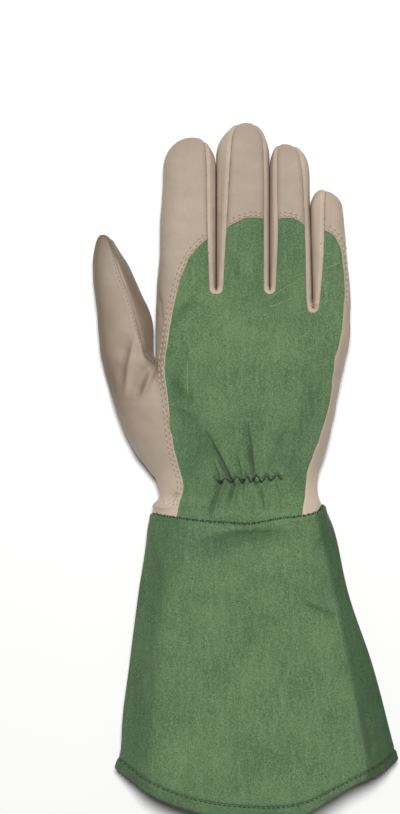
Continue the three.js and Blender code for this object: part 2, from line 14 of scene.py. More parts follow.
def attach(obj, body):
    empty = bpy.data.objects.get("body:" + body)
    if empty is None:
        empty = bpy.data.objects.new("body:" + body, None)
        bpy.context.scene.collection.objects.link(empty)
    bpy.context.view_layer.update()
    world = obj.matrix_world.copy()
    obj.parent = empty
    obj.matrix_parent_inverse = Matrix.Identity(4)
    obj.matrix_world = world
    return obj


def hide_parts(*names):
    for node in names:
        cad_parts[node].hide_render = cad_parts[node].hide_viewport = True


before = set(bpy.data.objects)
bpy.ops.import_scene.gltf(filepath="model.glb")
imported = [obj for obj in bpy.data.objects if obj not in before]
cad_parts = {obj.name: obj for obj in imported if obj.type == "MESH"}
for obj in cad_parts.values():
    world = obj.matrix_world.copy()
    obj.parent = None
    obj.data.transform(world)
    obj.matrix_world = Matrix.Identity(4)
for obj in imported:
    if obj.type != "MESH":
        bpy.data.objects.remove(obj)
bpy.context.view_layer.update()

# The hand as it is sewn up: one hollow form of soft leather and drill, with four fingers that lie
# side by side and a thumb that lies out to the left. Its panels are cut from it further down.
SEAM_HEIGHT = 10.0
SEAM_GAP = 0.06
CROTCH = 65.0
REACH = 97.0
# How far sections reach below the floor before they are flattened on it
SUNK = 2.0
# y, left, right, top of the hand without its fingers
HAND_ROWS = [
    (-73, -60.4, 42.9, 26.2),
    (-66, -59.1, 41.5, 26.1),
    (-62.5, -59.2, 40.1, 25.6),
    (-60.5, -59.7, 39.3, 25.4),
    (-58.5, -58.3, 38.6, 25.1),
    (-56.8, -56.3, 37.9, 24.9),
    (-54, -55.4, 37, 24.6),
    (-47, -56.7, 36.4, 24.6),
    (-25, -62, 42.3, 27.9),
    (0, -60, 47.5, 30),
    (24, -57.9, 52.5, 29.1),
    (40, -57.9, 55.3, 26.1),
    (54.6, -57.4, 55.4, 22.2),
    (56.2, -57.1, 34.1, 21.6),
    (66, -56.5, 32.8, 17.4),
]
# The same of the thumb, and where its ridge stands, from -1 at the left to 1 at the right
THUMB_ROWS = [
    (-48, -55, -30, 18, 0.3),
    (-25, -71.9, -32, 24.9, 0.2),
    (4.7, -83.8, -38, 27.9, 0.15),
    (21.5, -87.8, -52.2, 27.6, 0.42),
    (28, -89.2, -58.8, 26.7, 0.56),
    (40, -91, -58.8, 25.8, 0.42),
    (47, -91.8, -59.5, 25.2, 0.38),
    (61.5, -93.1, -65.3, 23.4, 0.42),
    (78, -93.7, -72.8, 21, 0.4),
    (86, -93.6, -77.9, 20, 0.4),
    (91, -93.1, -81, 20, 0.4),
    (95, -91.9, -84, 20, 0.4),
    (97.2, -90.3, -86.8, 20, 0.4),
]
THUMB_SHOULDER = 80
# x of the lines between the fingers, at the crotches and at the middle fingertip
FINGER_LINES = [(-56.7, -52.1), (-22.5, -22.5), (8.5, 8.5), (33.4, 30.6), (55.7, 45.7)]
# length, height and lean of the tip for each finger
FINGERS = [(89.1, 21, 0.15), (97, 21.8, 0.1), (85, 20.6, -0.25), (58, 18.5, -0.3)]
# y of a finger's hidden root inside the hand and of its first full section, and how much
# smaller the root is all round
FINGER_ROOT = 39
FINGER_START = 52
ROOT_INSET = 1.6


def rows_at(rows, y):
    """The outline of a section table at each y, in smooth curves between its rows."""
    rows = np.array(rows, float)
    t, v = rows[:, 0], rows[:, 1:]
    step = np.diff(t)
    rise = np.diff(v, axis=0) / step[:, None]
    slope = np.zeros_like(v)
    same = rise[:-1] * rise[1:] > 0
    both = np.where(same, rise[:-1] + rise[1:], 1)
    slope[1:-1] = np.where(same, 2 * rise[:-1] * rise[1:] / both, 0)
    slope[0], slope[-1] = rise[0], rise[-1]
    i = np.clip(np.searchsorted(t, y, side="right") - 1, 0, len(step) - 1)
    h = step[i][:, None]
    u = (y - t[i])[:, None] / h
    ends = v[i] * (1 + 2 * u) * (1 - u) ** 2 + v[i + 1] * u * u * (3 - 2 * u)
    return ends + h * u * (1 - u) * (slope[i] * (1 - u) - slope[i + 1] * u)


def ring(
    y, left, right, top, count, floor=0.0, creases=(1.0, 1.0), bottom=-SUNK, ridge=None, bow=0.8
):
    """Evenly spaced points round one section, which is flattened where it rests on the floor.
    Its upper side falls flat outside a crease on either side, or stands up to a ridge."""
    turn = np.linspace(0, 2 * np.pi, 720, endpoint=False)
    across = np.sign(np.cos(turn)) * np.abs(np.cos(turn)) ** bow
    up = np.sign(np.sin(turn)) * np.abs(np.sin(turn)) ** bow
    above = up > 0
    if ridge is not None:
        left_of_it = across < ridge
        off = np.where(left_of_it, (ridge - across) / (1 + ridge), (across - ridge) / (1 - ridge))
        power = np.where(left_of_it, 2.0, 1.4)
        up = np.where(above, (1 - np.clip(off, 0, 1) ** power) ** (1 / power), up)
    for side, crease in zip((-1, 1), creases):
        edge = (1 - crease**2.5) ** 0.4
        flat = above & (side * across > crease)
        up = np.where(flat, edge * (1 - side * across) / max(1 - crease, 1e-6), up)
    x = (left + right) / 2 + (right - left) / 2 * across
    z = SEAM_HEIGHT + np.where(up > 0, (top - SEAM_HEIGHT) * up, (SEAM_HEIGHT - bottom) * up)
    z = np.maximum(z, floor)
    x, z = np.append(x, x[0]), np.append(z, z[0])
    along = np.concatenate([[0], np.cumsum(np.hypot(np.diff(x), np.diff(z)))])
    at = np.linspace(0, along[-1], count, endpoint=False)
    return np.stack([np.interp(at, along, x), np.full(count, float(y)), np.interp(at, along, z)], 1)


def made_mesh(points, faces):
    """A Blender mesh from points and faces."""
    mesh = bpy.data.meshes.new("cut")
    mesh.from_pydata(np.asarray(points).tolist(), [], faces)
    mesh.update()
    return mesh


def closed_form(rings, tip=None):
    """A closed mesh through rings of points in rising y, with a point closing each end."""
    rings = np.array(rings)
    rows, count = rings.shape[:2]
    ends = [rings[0].mean(0), rings[-1].mean(0) if tip is None else tip]
    i = np.arange(count)
    j = (i + 1) % count
    faces = []
    for r in range(rows - 1):
        a, b = r * count, (r + 1) * count
        faces += np.stack([a + i, b + i, b + j, a + j], 1).tolist()
    first, last = rows * count, rows * count + 1
    top = (rows - 1) * count
    faces += np.stack([np.full(count, first), i, j], 1).tolist()
    faces += np.stack([np.full(count, last), top + j, top + i], 1).tolist()
    return made_mesh(np.concatenate([rings.reshape(-1, 3), ends]), faces)


def combined(first, second, how):
    """Two closed meshes added, intersected or subtracted."""
    pair = [bpy.data.objects.new("cut", mesh) for mesh in (first, second)]
    for one in pair:
        bpy.context.scene.collection.objects.link(one)
    cut = pair[0].modifiers.new("cut", "BOOLEAN")
    cut.operation = how
    cut.solver = "MANIFOLD"
    cut.object = pair[1]
    depsgraph = bpy.context.evaluated_depsgraph_get()
    mesh = bpy.data.meshes.new_from_object(pair[0].evaluated_get(depsgraph))
    for one in pair:
        bpy.data.objects.remove(one)
    return mesh


def line_x(line, y):
    """x of a line between two fingers at a y."""
    return line[0] + (line[1] - line[0]) * max(0.0, y - CROTCH) / REACH


def finger_form(number, sides, step):
    """One finger's tube, from inside the hand to its rounded tip."""
    length, height, lean = FINGERS[number]
    tip_y = CROTCH + length
    slit_left, slit_right = SEAM_GAP / 2 * (number > 0), SEAM_GAP / 2 * (number < 3)

    def edges(y):
        left, right = (line_x(line, y) for line in FINGER_LINES[number : number + 2])
        return left + slit_left, right - slit_right

    left, right = edges(tip_y)
    end = 0.64 * (right - left)
    shoulder = tip_y - end
    left, right = edges(FINGER_ROOT)
    root = (left + ROOT_INSET, right - ROOT_INSET, height - ROOT_INSET)
    rings = [ring(FINGER_ROOT, *root, sides, ROOT_INSET)]
    for y in np.arange(FINGER_START, shoulder, step):
        rings.append(ring(y, *edges(y), height, sides, bow=0.72))
    left, right = edges(shoulder)
    for turn in np.linspace(0, math.pi / 2, 22)[:-1]:
        size = math.cos(turn)
        middle = (left + right) / 2 + lean * (right - left) / 2 * (1 - size)
        half = (right - left) / 2 * size
        top = SEAM_HEIGHT + (height - SEAM_HEIGHT) * size
        low = SEAM_HEIGHT - (SEAM_HEIGHT + SUNK) * size
        y = shoulder + end * math.sin(turn)
        rings.append(ring(y, middle - half, middle + half, top, sides, bottom=low, bow=0.74))
    tip = (left + right) / 2 + lean * (right - left) / 2
    return closed_form(rings, (tip, tip_y, SEAM_HEIGHT))


def thumb_form(sides, step):
    """The thumb's tube, with its rounded tip."""
    end = THUMB_ROWS[-1][0]
    rise = np.sin(np.linspace(0, math.pi / 2, 20))[1:-1]
    ys = np.arange(THUMB_ROWS[0][0], THUMB_SHOULDER, step)
    ys = np.append(ys, THUMB_SHOULDER + (end - THUMB_SHOULDER) * rise)
    rings = []
    for y, (left, right, top, ridge) in zip(ys, rows_at(THUMB_ROWS, ys)):
        size = math.sqrt(1 - max(0.0, (y - THUMB_SHOULDER) / (end - THUMB_SHOULDER + 0.4)) ** 2)
        high = SEAM_HEIGHT + (top - SEAM_HEIGHT) * size
        low = SEAM_HEIGHT - (SEAM_HEIGHT + SUNK) * size
        rings.append(ring(y, left, right, high, sides, bottom=low, ridge=ridge))
    return closed_form(rings)


def hand_form(step):
    """Hand, thumb and fingers as one closed form."""
    start, end = HAND_ROWS[0][0], HAND_ROWS[-1][0]
    ys = np.append(np.arange(start, end, step), end)
    rings = []
    for y, row in zip(ys, rows_at(HAND_ROWS, ys)):
        lap = np.interp(y, [-60, -54], [1.6, 0])
        rings.append(ring(y, *row, int(270 / step), lap))
    form = closed_form(rings)
    form = combined(form, thumb_form(int(96 / step), step), "UNION")
    for number in range(4):
        form = combined(form, finger_form(number, int(84 / step), step), "UNION")
    return form


def point_array(mesh, what="co"):
    """The place, or else the normal, of each point of a mesh."""
    values = np.empty(len(mesh.vertices) * 3)
    mesh.vertices.foreach_get(what, values)
    return values.reshape(-1, 3)


def put(mesh, points):
    """Moves the points of a mesh to new places, none of them under the floor."""
    points[:, 2] = np.maximum(points[:, 2], 0)
    mesh.vertices.foreach_set("co", points.ravel())


def edge_array(mesh):
    """The two points of each edge of a mesh."""
    edges = np.empty(len(mesh.edges) * 2, dtype=np.int64)
    mesh.edges.foreach_get("vertices", edges)
    return edges.reshape(-1, 2)


def relaxed(points, edges, weight, rounds):
    """Points drawn towards the middle of their neighbours, as taut skin is."""
    a, b = edges[:, 0], edges[:, 1]
    count = len(points)
    near = np.bincount(a, minlength=count) + np.bincount(b, minlength=count)
    for _ in range(rounds):
        middle = np.empty_like(points)
        for axis in range(3):
            total = np.bincount(a, points[b, axis], count) + np.bincount(b, points[a, axis], count)
            middle[:, axis] = total / near
        points = points + weight[:, None] * (middle - points)
    return points


def window(value, low, high, soft):
    """1 between low and high, falling to 0 over soft on each side."""
    rise = np.clip((value - low) / soft + 1, 0, 1) * np.clip((high - value) / soft + 1, 0, 1)
    return rise * rise * (3 - 2 * rise)


def to_line(points, path):
    """Plan distance of points from a path, how far along it the nearest place is, 0 to 1, and
    which side they lie on: 1 for the right of a path that runs towards the wrist."""
    path = np.array(path, float)
    nearest = np.full(len(points), 1e9)
    share = np.zeros(len(points))
    side = np.ones(len(points))
    lengths = np.hypot(*np.diff(path, axis=0).T)
    total = lengths.sum()
    before = 0.0
    for a, b, length in zip(path[:-1], path[1:], lengths):
        off = points[:, :2] - a
        t = np.clip(off @ (b - a) / length**2, 0, 1)
        away = np.hypot(*(off - t[:, None] * (b - a)).T)
        closer = away < nearest
        nearest = np.where(closer, away, nearest)
        share = np.where(closer, (before + t * length) / total, share)
        turn = (b[0] - a[0]) * off[:, 1] - (b[1] - a[1]) * off[:, 0]
        side = np.where(closer, np.sign(turn), side)
        before += length
    return nearest, share, side


# Folds narrower than this are gathers, with a crisp groove along their bottom that is also painted dark as
# shade
GATHER = 3


def folded(points, folds, on_top):
    """How far folds move a skin: each falls off softly on its left, and on its right the cloth
    or leather rolls over it in a swelling."""
    swell = np.zeros(len(points))
    for path, wide, deep, puff in folds:
        away, share, side = to_line(points, path)
        taper = np.clip(np.minimum(share, 1 - share) * 3.5 + 0.06, 0, 1) ** 0.8
        reach = np.where(side > 0, (0.38 if wide < 5 else 0.8) * wide, wide)
        swell -= deep * taper * np.exp(-((away / reach) ** 1.25)) * on_top
        if wide < GATHER:
            swell -= 0.35 * deep * taper * np.exp(-((away / 0.65) ** 2)) * on_top
        swell += puff * taper * np.exp(-(((away - 1.3 - 0.4 * wide) / 1.7) ** 2)) * (side > 0) * on_top
    return swell


def ripple(points, wave, seed):
    """Slow, soft unevenness between about -1 and 1."""
    dice = np.random.default_rng(seed)
    total = np.zeros(len(points))
    for _ in range(14):
        way = dice.normal(size=3)
        way *= 2 * np.pi / wave * dice.uniform(0.6, 1.5) / np.linalg.norm(way)
        total += np.sin(points @ way + dice.uniform(0, 2 * np.pi))
    return total / 3.7


def from_lines(points):
    """Distance of points, in x, from the nearest line between two fingers."""
    return np.min([np.abs(points[:, 0] - line[0]) for line in FINGER_LINES[1:4]], axis=0)


skin = hand_form(0.8)
points = point_array(skin)
edges = edge_array(skin)
roots = window(points[:, 1], 55, 74, 9) * window(points[:, 0], -60, 60, 1)
roots *= np.where((from_lines(points) < 1.6) & (points[:, 1] > 62), 0.25, 1)
thumb_root = window(points[:, 0], -64, -44, 5) * window(points[:, 1], -46, 24, 6)
top_half = np.clip((points[:, 2] - SEAM_HEIGHT) / 4, 0.15, 1)
finger_starts = window(points[:, 1], 36, 52, 5) * window(points[:, 0], -64, 64, 2)
finger_starts *= np.clip((SEAM_HEIGHT + 3 - points[:, 2]) / 4, 0, 1)
pulled = np.clip((roots + thumb_root) * top_half + finger_starts, 0, 1)
put(skin, relaxed(points, edges, pulled * 0.8, 26))
skin.update()

# Folds and gathers of leather and drill, from their upper to their lower end in plan: the path,
# half width, depth, and height of the swelling beside them. A depth below zero stands up.
LONG_GATHER = [(-28.5, -17.5), (-24, -27.3), (-20.3, -34.2), (-15.5, -43.3), (-12.8, -48.2)]
FOLDS = [
    (LONG_GATHER + [(-15.1, -55.7), (-17.5, -64)], 2.4, 2.0, 1.3),
    ([(-5.6, -10), (-4.1, -22), (-2.6, -34), (-1.4, -44.5), (-0.4, -48), (0.6, -53)], 2.2, 1.9, 1.2),
    ([(-25, -33), (-22, -43), (-20.6, -47.6), (-24, -57.5), (-28, -70)], 1.8, 1.7, 1.2),
    ([(-12, -29), (-9.2, -40), (-7.4, -47.5), (-8.2, -56)], 1.8, 1.1, 0.8),
    ([(18, -17), (10.6, -37), (7.5, -47)], 4.0, 1.9, 0.5),
    ([(22, -22), (17.4, -30.7), (15, -41.8)], 3.1, 0.9, 0.4),
    ([(3.4, -44), (2.6, -49), (3.4, -56), (4.2, -64)], 1.8, 1.1, 0.9),
    ([(11.6, -46), (13.4, -56), (14.6, -66)], 2.0, 0.9, 0.5),
    ([(-73.5, 40), (-76, 31), (-78.6, 19), (-80.5, 3)], 9.0, 2.0, 1.2),
    ([(-60, 23), (-64.5, 15.7), (-70, 2)], 7.0, 2.2, 1.4),
    ([(-55.4, 64), (-54.6, 55), (-53.2, 42)], 2.6, 0.5, 0.2),
    ([(-44, -53), (-50, -57), (-53, -58.6), (-58, -57)], 2.2, 1.7, 0.7),
    ([(-46, 33), (-40, 38), (-35, 44)], 3.6, 1.0, 0.3),
    ([(-44, -4), (-39, -8), (-36, -12)], 3.2, 0.9, 0.3),
    ([(14.5, 66), (22, 71), (29.6, 75)], 1.4, -0.55, 0.0),
    ([(6.4, 56.3), (16, 61.5), (25, 65)], 1.4, -0.55, 0.0),
    ([(39.7, 76), (45, 78), (50.5, 81)], 1.3, -0.4, 0.0),
    ([(-46, 38), (-41, 30), (-39.5, 18)], 4.2, 1.0, 0.3),
    ([(-46, -4), (-43, -9), (-42.5, -16)], 4.0, 1.1, 0.3),
]
# The same on the underside: the creases of the palm and of the finger joints
PALM_FOLDS = [
    ([(-57, 36), (-30, 31), (-5, 20), (16, 2)], 1.8, 0.7, 0.3),
    ([(-24, 47), (0, 41), (25, 37), (47, 39)], 1.8, 0.6, 0.3),
    ([(-30, 24), (-32, 5), (-38, -12), (-46, -26)], 2.2, 0.6, 0.3),
    ([(-51, 101), (-40, 99.5), (-29, 101)], 1.4, 0.5, 0.2),
    ([(-19, 109), (-8, 107.5), (4, 109)], 1.4, 0.5, 0.2),
    ([(12, 102), (21, 100.5), (29, 102)], 1.4, 0.5, 0.2),
    ([(37, 88), (43, 86.5), (49, 88)], 1.4, 0.5, 0.2),
    ([(-84, 50), (-76, 47.5), (-68, 50)], 1.4, 0.5, 0.2),
    ([(-40, -56), (-15, -60), (12, -58), (32, -55)], 2.0, 0.6, 0.3),
]
# The row of elastic shirring: where its zigzag starts, one leg, its two rows and the middle of
# the channel between them
SHIRRING_START = -22.3
SHIRRING_LEG = 2.9
SHIRRING_LEGS = 13
SHIRRING_ROWS = (-43.5, -47.5)
SHIRRING_MIDDLE = -45.4
dice = np.random.default_rng(8)
zigzag = [
    (
        SHIRRING_START + SHIRRING_LEG * i + dice.normal() * 0.45,
        SHIRRING_ROWS[i % 2] + 2.2 * (i / SHIRRING_LEGS) ** 3 + dice.normal() * 0.55,
    )
    for i in range(SHIRRING_LEGS + 1)
]


def finer(mesh, paths, reach):
    """Faces of the upper side are halved near the given plan paths, where the cloth folds."""
    work = bmesh.new()
    work.from_mesh(mesh)
    work.verts.index_update()
    points = np.array([v.co[:] for v in work.verts])
    near = np.min([to_line(points, path)[0] for path in paths], axis=0) < reach
    near &= points[:, 2] > SEAM_HEIGHT + 2
    halved = [e for e in work.edges if near[e.verts[0].index] and near[e.verts[1].index]]
    bmesh.ops.subdivide_edges(work, edges=halved, cuts=1, use_grid_fill=True)
    work.to_mesh(mesh)
    work.free()
    mesh.update()


crisp = [path for path, wide, deep, _ in FOLDS if wide < GATHER and deep > 0.8]
finer(skin, [zigzag] + crisp, 3.2)
points = point_array(skin)


def wrist_dip(points):
    """How far the gathers draw the drill down towards the wrist seam."""
    across = window(points[:, 0], -24, 14, 16)
    down = np.clip((-47 - points[:, 1]) / 15, 0, 1)
    return 3.2 * across * down * np.clip((points[:, 2] - SEAM_HEIGHT) / 8, 0, 1)


normals = point_array(skin, "normal")
above = np.clip((points[:, 2] - SEAM_HEIGHT) / 3, 0, 1)
swell = 0.35 * ripple(points, 46, 3) + 0.16 * ripple(points, 17, 4)
in_slit = np.exp(-((from_lines(points) / 1.6) ** 2)) * np.clip((points[:, 1] - 50) / 12, 0, 1)
swell *= 1 - in_slit
swell += folded(points, FOLDS, above)
shirring = window(points[:, 0], -23, 15, 5) * above
from_row = points[:, 1] - SHIRRING_MIDDLE
swell -= 0.5 * shirring * np.exp(-((from_row / 4.5) ** 2))
swell -= 1.1 * shirring * np.exp(-((to_line(points, zigzag)[0] / 0.75) ** 2))
for i, (x, y) in enumerate(zigzag):
    pocket = np.hypot(points[:, 0] - x, points[:, 1] - y - (3.6 if i % 2 else -3.6))
    swell += 0.8 * np.exp(-((pocket / 1.5) ** 2)) * above
swell *= np.clip(points[:, 2] / 3, 0, 1)
below = np.clip((SEAM_HEIGHT - 3 - points[:, 2]) / 3, 0, 1)
swell += folded(points, PALM_FOLDS, below)
points = points + normals * swell[:, None]
points[:, 2] -= wrist_dip(points)
put(skin, points)
skin.update()


# Panels are cut from the form along the seams, as patterns are: each is a piece of the outer
# skin with a wall of its own, and its edges dip into the seam that holds it.
FAR = 300.0
BEYOND_TIPS = 170
# Outline of the drill back, from the wrist up the thumb side and down the little finger side
BACK_OUTLINE = [
    (-45.6, -90), (-45.3, -65.7), (-41.8, -50.9), (-42.3, -43.8), (-46.5, -28.4), (-48.8, -13),
    (-50.6, 4.7), (-52.4, 18.9), (-50.6, 34.3), (-48.3, 48.7), (-44.7, 65.1), (-40, 78.3),
    (-35.4, 86.4), (-27.3, 94.1), (-16.1, 100.6), (-6.8, 105.3), (-0.9, 106.2), (5, 105.7),
    (13, 105.7), (21.6, 105.9), (28.7, 102.4), (40.6, 98.8), (46.4, 94.7), (50, 87.6),
    (51.8, 75.8), (51.8, 58), (49.4, 36.7), (45.8, 22.4), (44.1, 4.7), (40, -13), (34.6, -28.4),
    (30.5, -40.3), (28.7, -54.5), (26.9, -65.2), (26.6, -90),
]
# Slit number, crotch y, and the seams left and right of the slit at five places up to the tips
FOURCHETTES = [
    (1, 65.4, (3.7, 5, 5.4, 6.2, 8.1), (3.7, 5.9, 7.7, 9.5, 13.3)),
    (2, 65.4, (3.1, 3.2, 3.3, 4.7, 9.6), (3.1, 4.5, 4.1, 4.3, 6.2)),
    (3, 54.6, (3.4, 3.5, 3.7, 5.7, 9.6), (3.6, 6.4, 7.8, 8.5, 9.6)),
]


def marked(mesh, name, values, kind="FLOAT", domain="POINT"):
    """Marks each point, or each face, of a mesh with a number."""
    mesh.attributes.new(name, kind, domain).data.foreach_set("value", values)


marked(skin, "outside", np.ones(len(skin.polygons), dtype=np.int32), "INT", "FACE")


def curve(path, count):
    """A smooth line of evenly spaced places through the given ones."""
    path = np.array(path, float)
    path = np.vstack([2 * path[0] - path[1], path, 2 * path[-1] - path[-2]])
    t = np.linspace(0, len(path) - 3, 40 * len(path))
    i = np.minimum(t.astype(int), len(path) - 4)
    u = (t - i)[:, None]
    a, b, c, d = (path[i + k] for k in range(4))
    fine = 0.5 * (
        2 * b + (c - a) * u + (2 * a - 5 * b + 4 * c - d) * u * u + (3 * b - a - 3 * c + d) * u**3
    )
    along = np.concatenate([[0], np.cumsum(np.hypot(*np.diff(fine, axis=0).T))])
    at = np.linspace(0, along[-1], count)
    return np.stack([np.interp(at, along, fine[:, k]) for k in range(2)], 1)


def inset(outline, distance):
    """A plan outline moved inwards all round, or outwards if the distance is negative."""
    outline = np.array(outline, float)
    before = outline - np.roll(outline, 1, axis=0)
    after = np.roll(outline, -1, axis=0) - outline
    before /= np.linalg.norm(before, axis=1)[:, None]
    after /= np.linalg.norm(after, axis=1)[:, None]
    way = np.stack([-(before + after)[:, 1], (before + after)[:, 0]], 1)
    way /= np.maximum(np.linalg.norm(way, axis=1), 1e-9)[:, None]
    stretch = np.maximum(0.4, np.sum(way * np.stack([-before[:, 1], before[:, 0]], 1), axis=1))
    x, y = outline.T
    turns = np.sign(np.sum(x * np.roll(y, -1) - y * np.roll(x, -1)))
    return outline + way * (turns * distance / stretch)[:, None]


def block(outline, low=-FAR, high=FAR):
    """An upright block on a plan outline."""
    outline = np.array(outline, float)
    x, y = outline.T
    if np.sum(x * np.roll(y, -1) - y * np.roll(x, -1)) < 0:
        outline = outline[::-1]
    count = len(outline)
    points = [(x, y, z) for z in (low, high) for x, y in outline]
    faces = [list(range(count))[::-1], list(range(count, 2 * count))]
    faces += [[i, (i + 1) % count, count + (i + 1) % count, count + i] for i in range(count)]
    mesh = made_mesh(points, faces)
    marked(mesh, "outside", np.zeros(len(faces), dtype=np.int32), "INT", "FACE")
    return mesh


def upper(outline):
    """A block above the side seams."""
    return block(outline, SEAM_HEIGHT + SEAM_GAP / 2)


def lower(outline):
    """A block below the side seams."""
    return block(outline, -FAR, SEAM_HEIGHT - SEAM_GAP / 2)


def within(outline):
    """The outline of a piece, half a seam's gap smaller all round."""
    return inset(outline, SEAM_GAP / 2)


def around(outline):
    """The outline that a piece's neighbours are cut to, half a seam's gap larger."""
    return inset(outline, -SEAM_GAP / 2)


def fourchette_outline(slit, crotch, left, right):
    """Down one seam, round the crotch, and up the other."""
    sides = []
    for finger, offsets, sign in ((slit - 1, left, -1), (slit, right, 1)):
        tip = CROTCH + FINGERS[finger][0]
        ys = [crotch + (tip - crotch) * share for share in (0, 0.38, 0.7, 0.92, 1)]
        line = FINGER_LINES[slit]
        sides.append(curve([(line_x(line, y) + sign * d, y) for y, d in zip(ys, offsets)], 40))
    (x0, y0), (x1, _) = sides[0][0], sides[1][0]
    turn = np.linspace(0, math.pi, 14)[1:-1]
    round_end = np.stack([x0 + (x1 - x0) * (1 - np.cos(turn)) / 2, y0 - 3.2 * np.sin(turn)], 1)
    first, last = ([(side[-1][0], BEYOND_TIPS)] for side in sides)
    return np.vstack([first, sides[0][::-1], round_end, sides[1], last])


def cut(form, *steps):
    """What is left of a form after adding, keeping or taking away blocks in turn."""
    for how, mesh in steps:
        form = combined(form.copy(), mesh.copy(), how)
    return form


KEEP, TAKE = "INTERSECT", "DIFFERENCE"
everywhere = [(-FAR, -FAR), (FAR, -FAR), (FAR, FAR), (-FAR, FAR)]
back_plan = curve(BACK_OUTLINE, 260)
slits = [block(around(fourchette_outline(*row))) for row in FOURCHETTES]
thumb_crotch = (-58.25, 26)
short_seam_end = (-49.7, 19.5)
forefinger_plan = [
    (thumb_crotch[0], FAR),
    thumb_crotch,
    short_seam_end,
    (-22.5, 58.5),
    (-22.5, FAR),
]
thumb_back_plan = [
    (thumb_crotch[0], FAR),
    thumb_crotch,
    short_seam_end,
    (-33.9, -52),
    (-33.9, -FAR),
    (-FAR, -FAR),
    (-FAR, FAR),
]
palm_seam = curve([thumb_crotch, (-42.9, 15.6), (-35, -6.5), (-39.6, -29.9), (-56.5, -46.8)], 40)
thumb_palm_plan = [(thumb_crotch[0], FAR), *palm_seam, (-FAR, -71.5), (-FAR, FAR)]
gusset_seam = curve(
    [(-85.9, 102.7), (-83.8, 94.5), (-78, 73.4), (-73.1, 61.5), (-66, 37.7), (-62.8, 26)], 50
)
gusset_plan = [
    (-85.9, FAR),
    *gusset_seam,
    (thumb_crotch[0], thumb_crotch[1] - 3.2),
    (thumb_crotch[0], FAR),
]
gusset_cut = block(around(gusset_plan))
dice = np.random.default_rng(12)
along_edge = np.arange(len(back_plan))
wave = sum(np.sin(along_edge * dice.uniform(0.2, 1.1) + dice.uniform(0, 6.3)) for _ in range(6)) * 0.09
back_cut = block(around(back_plan) + np.stack([wave, wave * 0.4], 1), SEAM_HEIGHT)


def distances(places, samples):
    """Distance of each place from the nearest of the samples."""
    tree = KDTree(len(samples))
    for i, sample in enumerate(samples):
        tree.insert(sample, i)
    tree.balance()
    return np.array([tree.find(place)[2] for place in places])


def tidy(mesh):
    """Slivers that a cut leaves are merged away."""
    work = bmesh.new()
    work.from_mesh(mesh)
    bmesh.ops.remove_doubles(work, verts=work.verts, dist=0.045)
    loose = [v for v in work.verts if not v.link_faces]
    bmesh.ops.delete(work, geom=loose, context="VERTS")
    work.to_mesh(mesh)
    work.free()
    mesh.update()


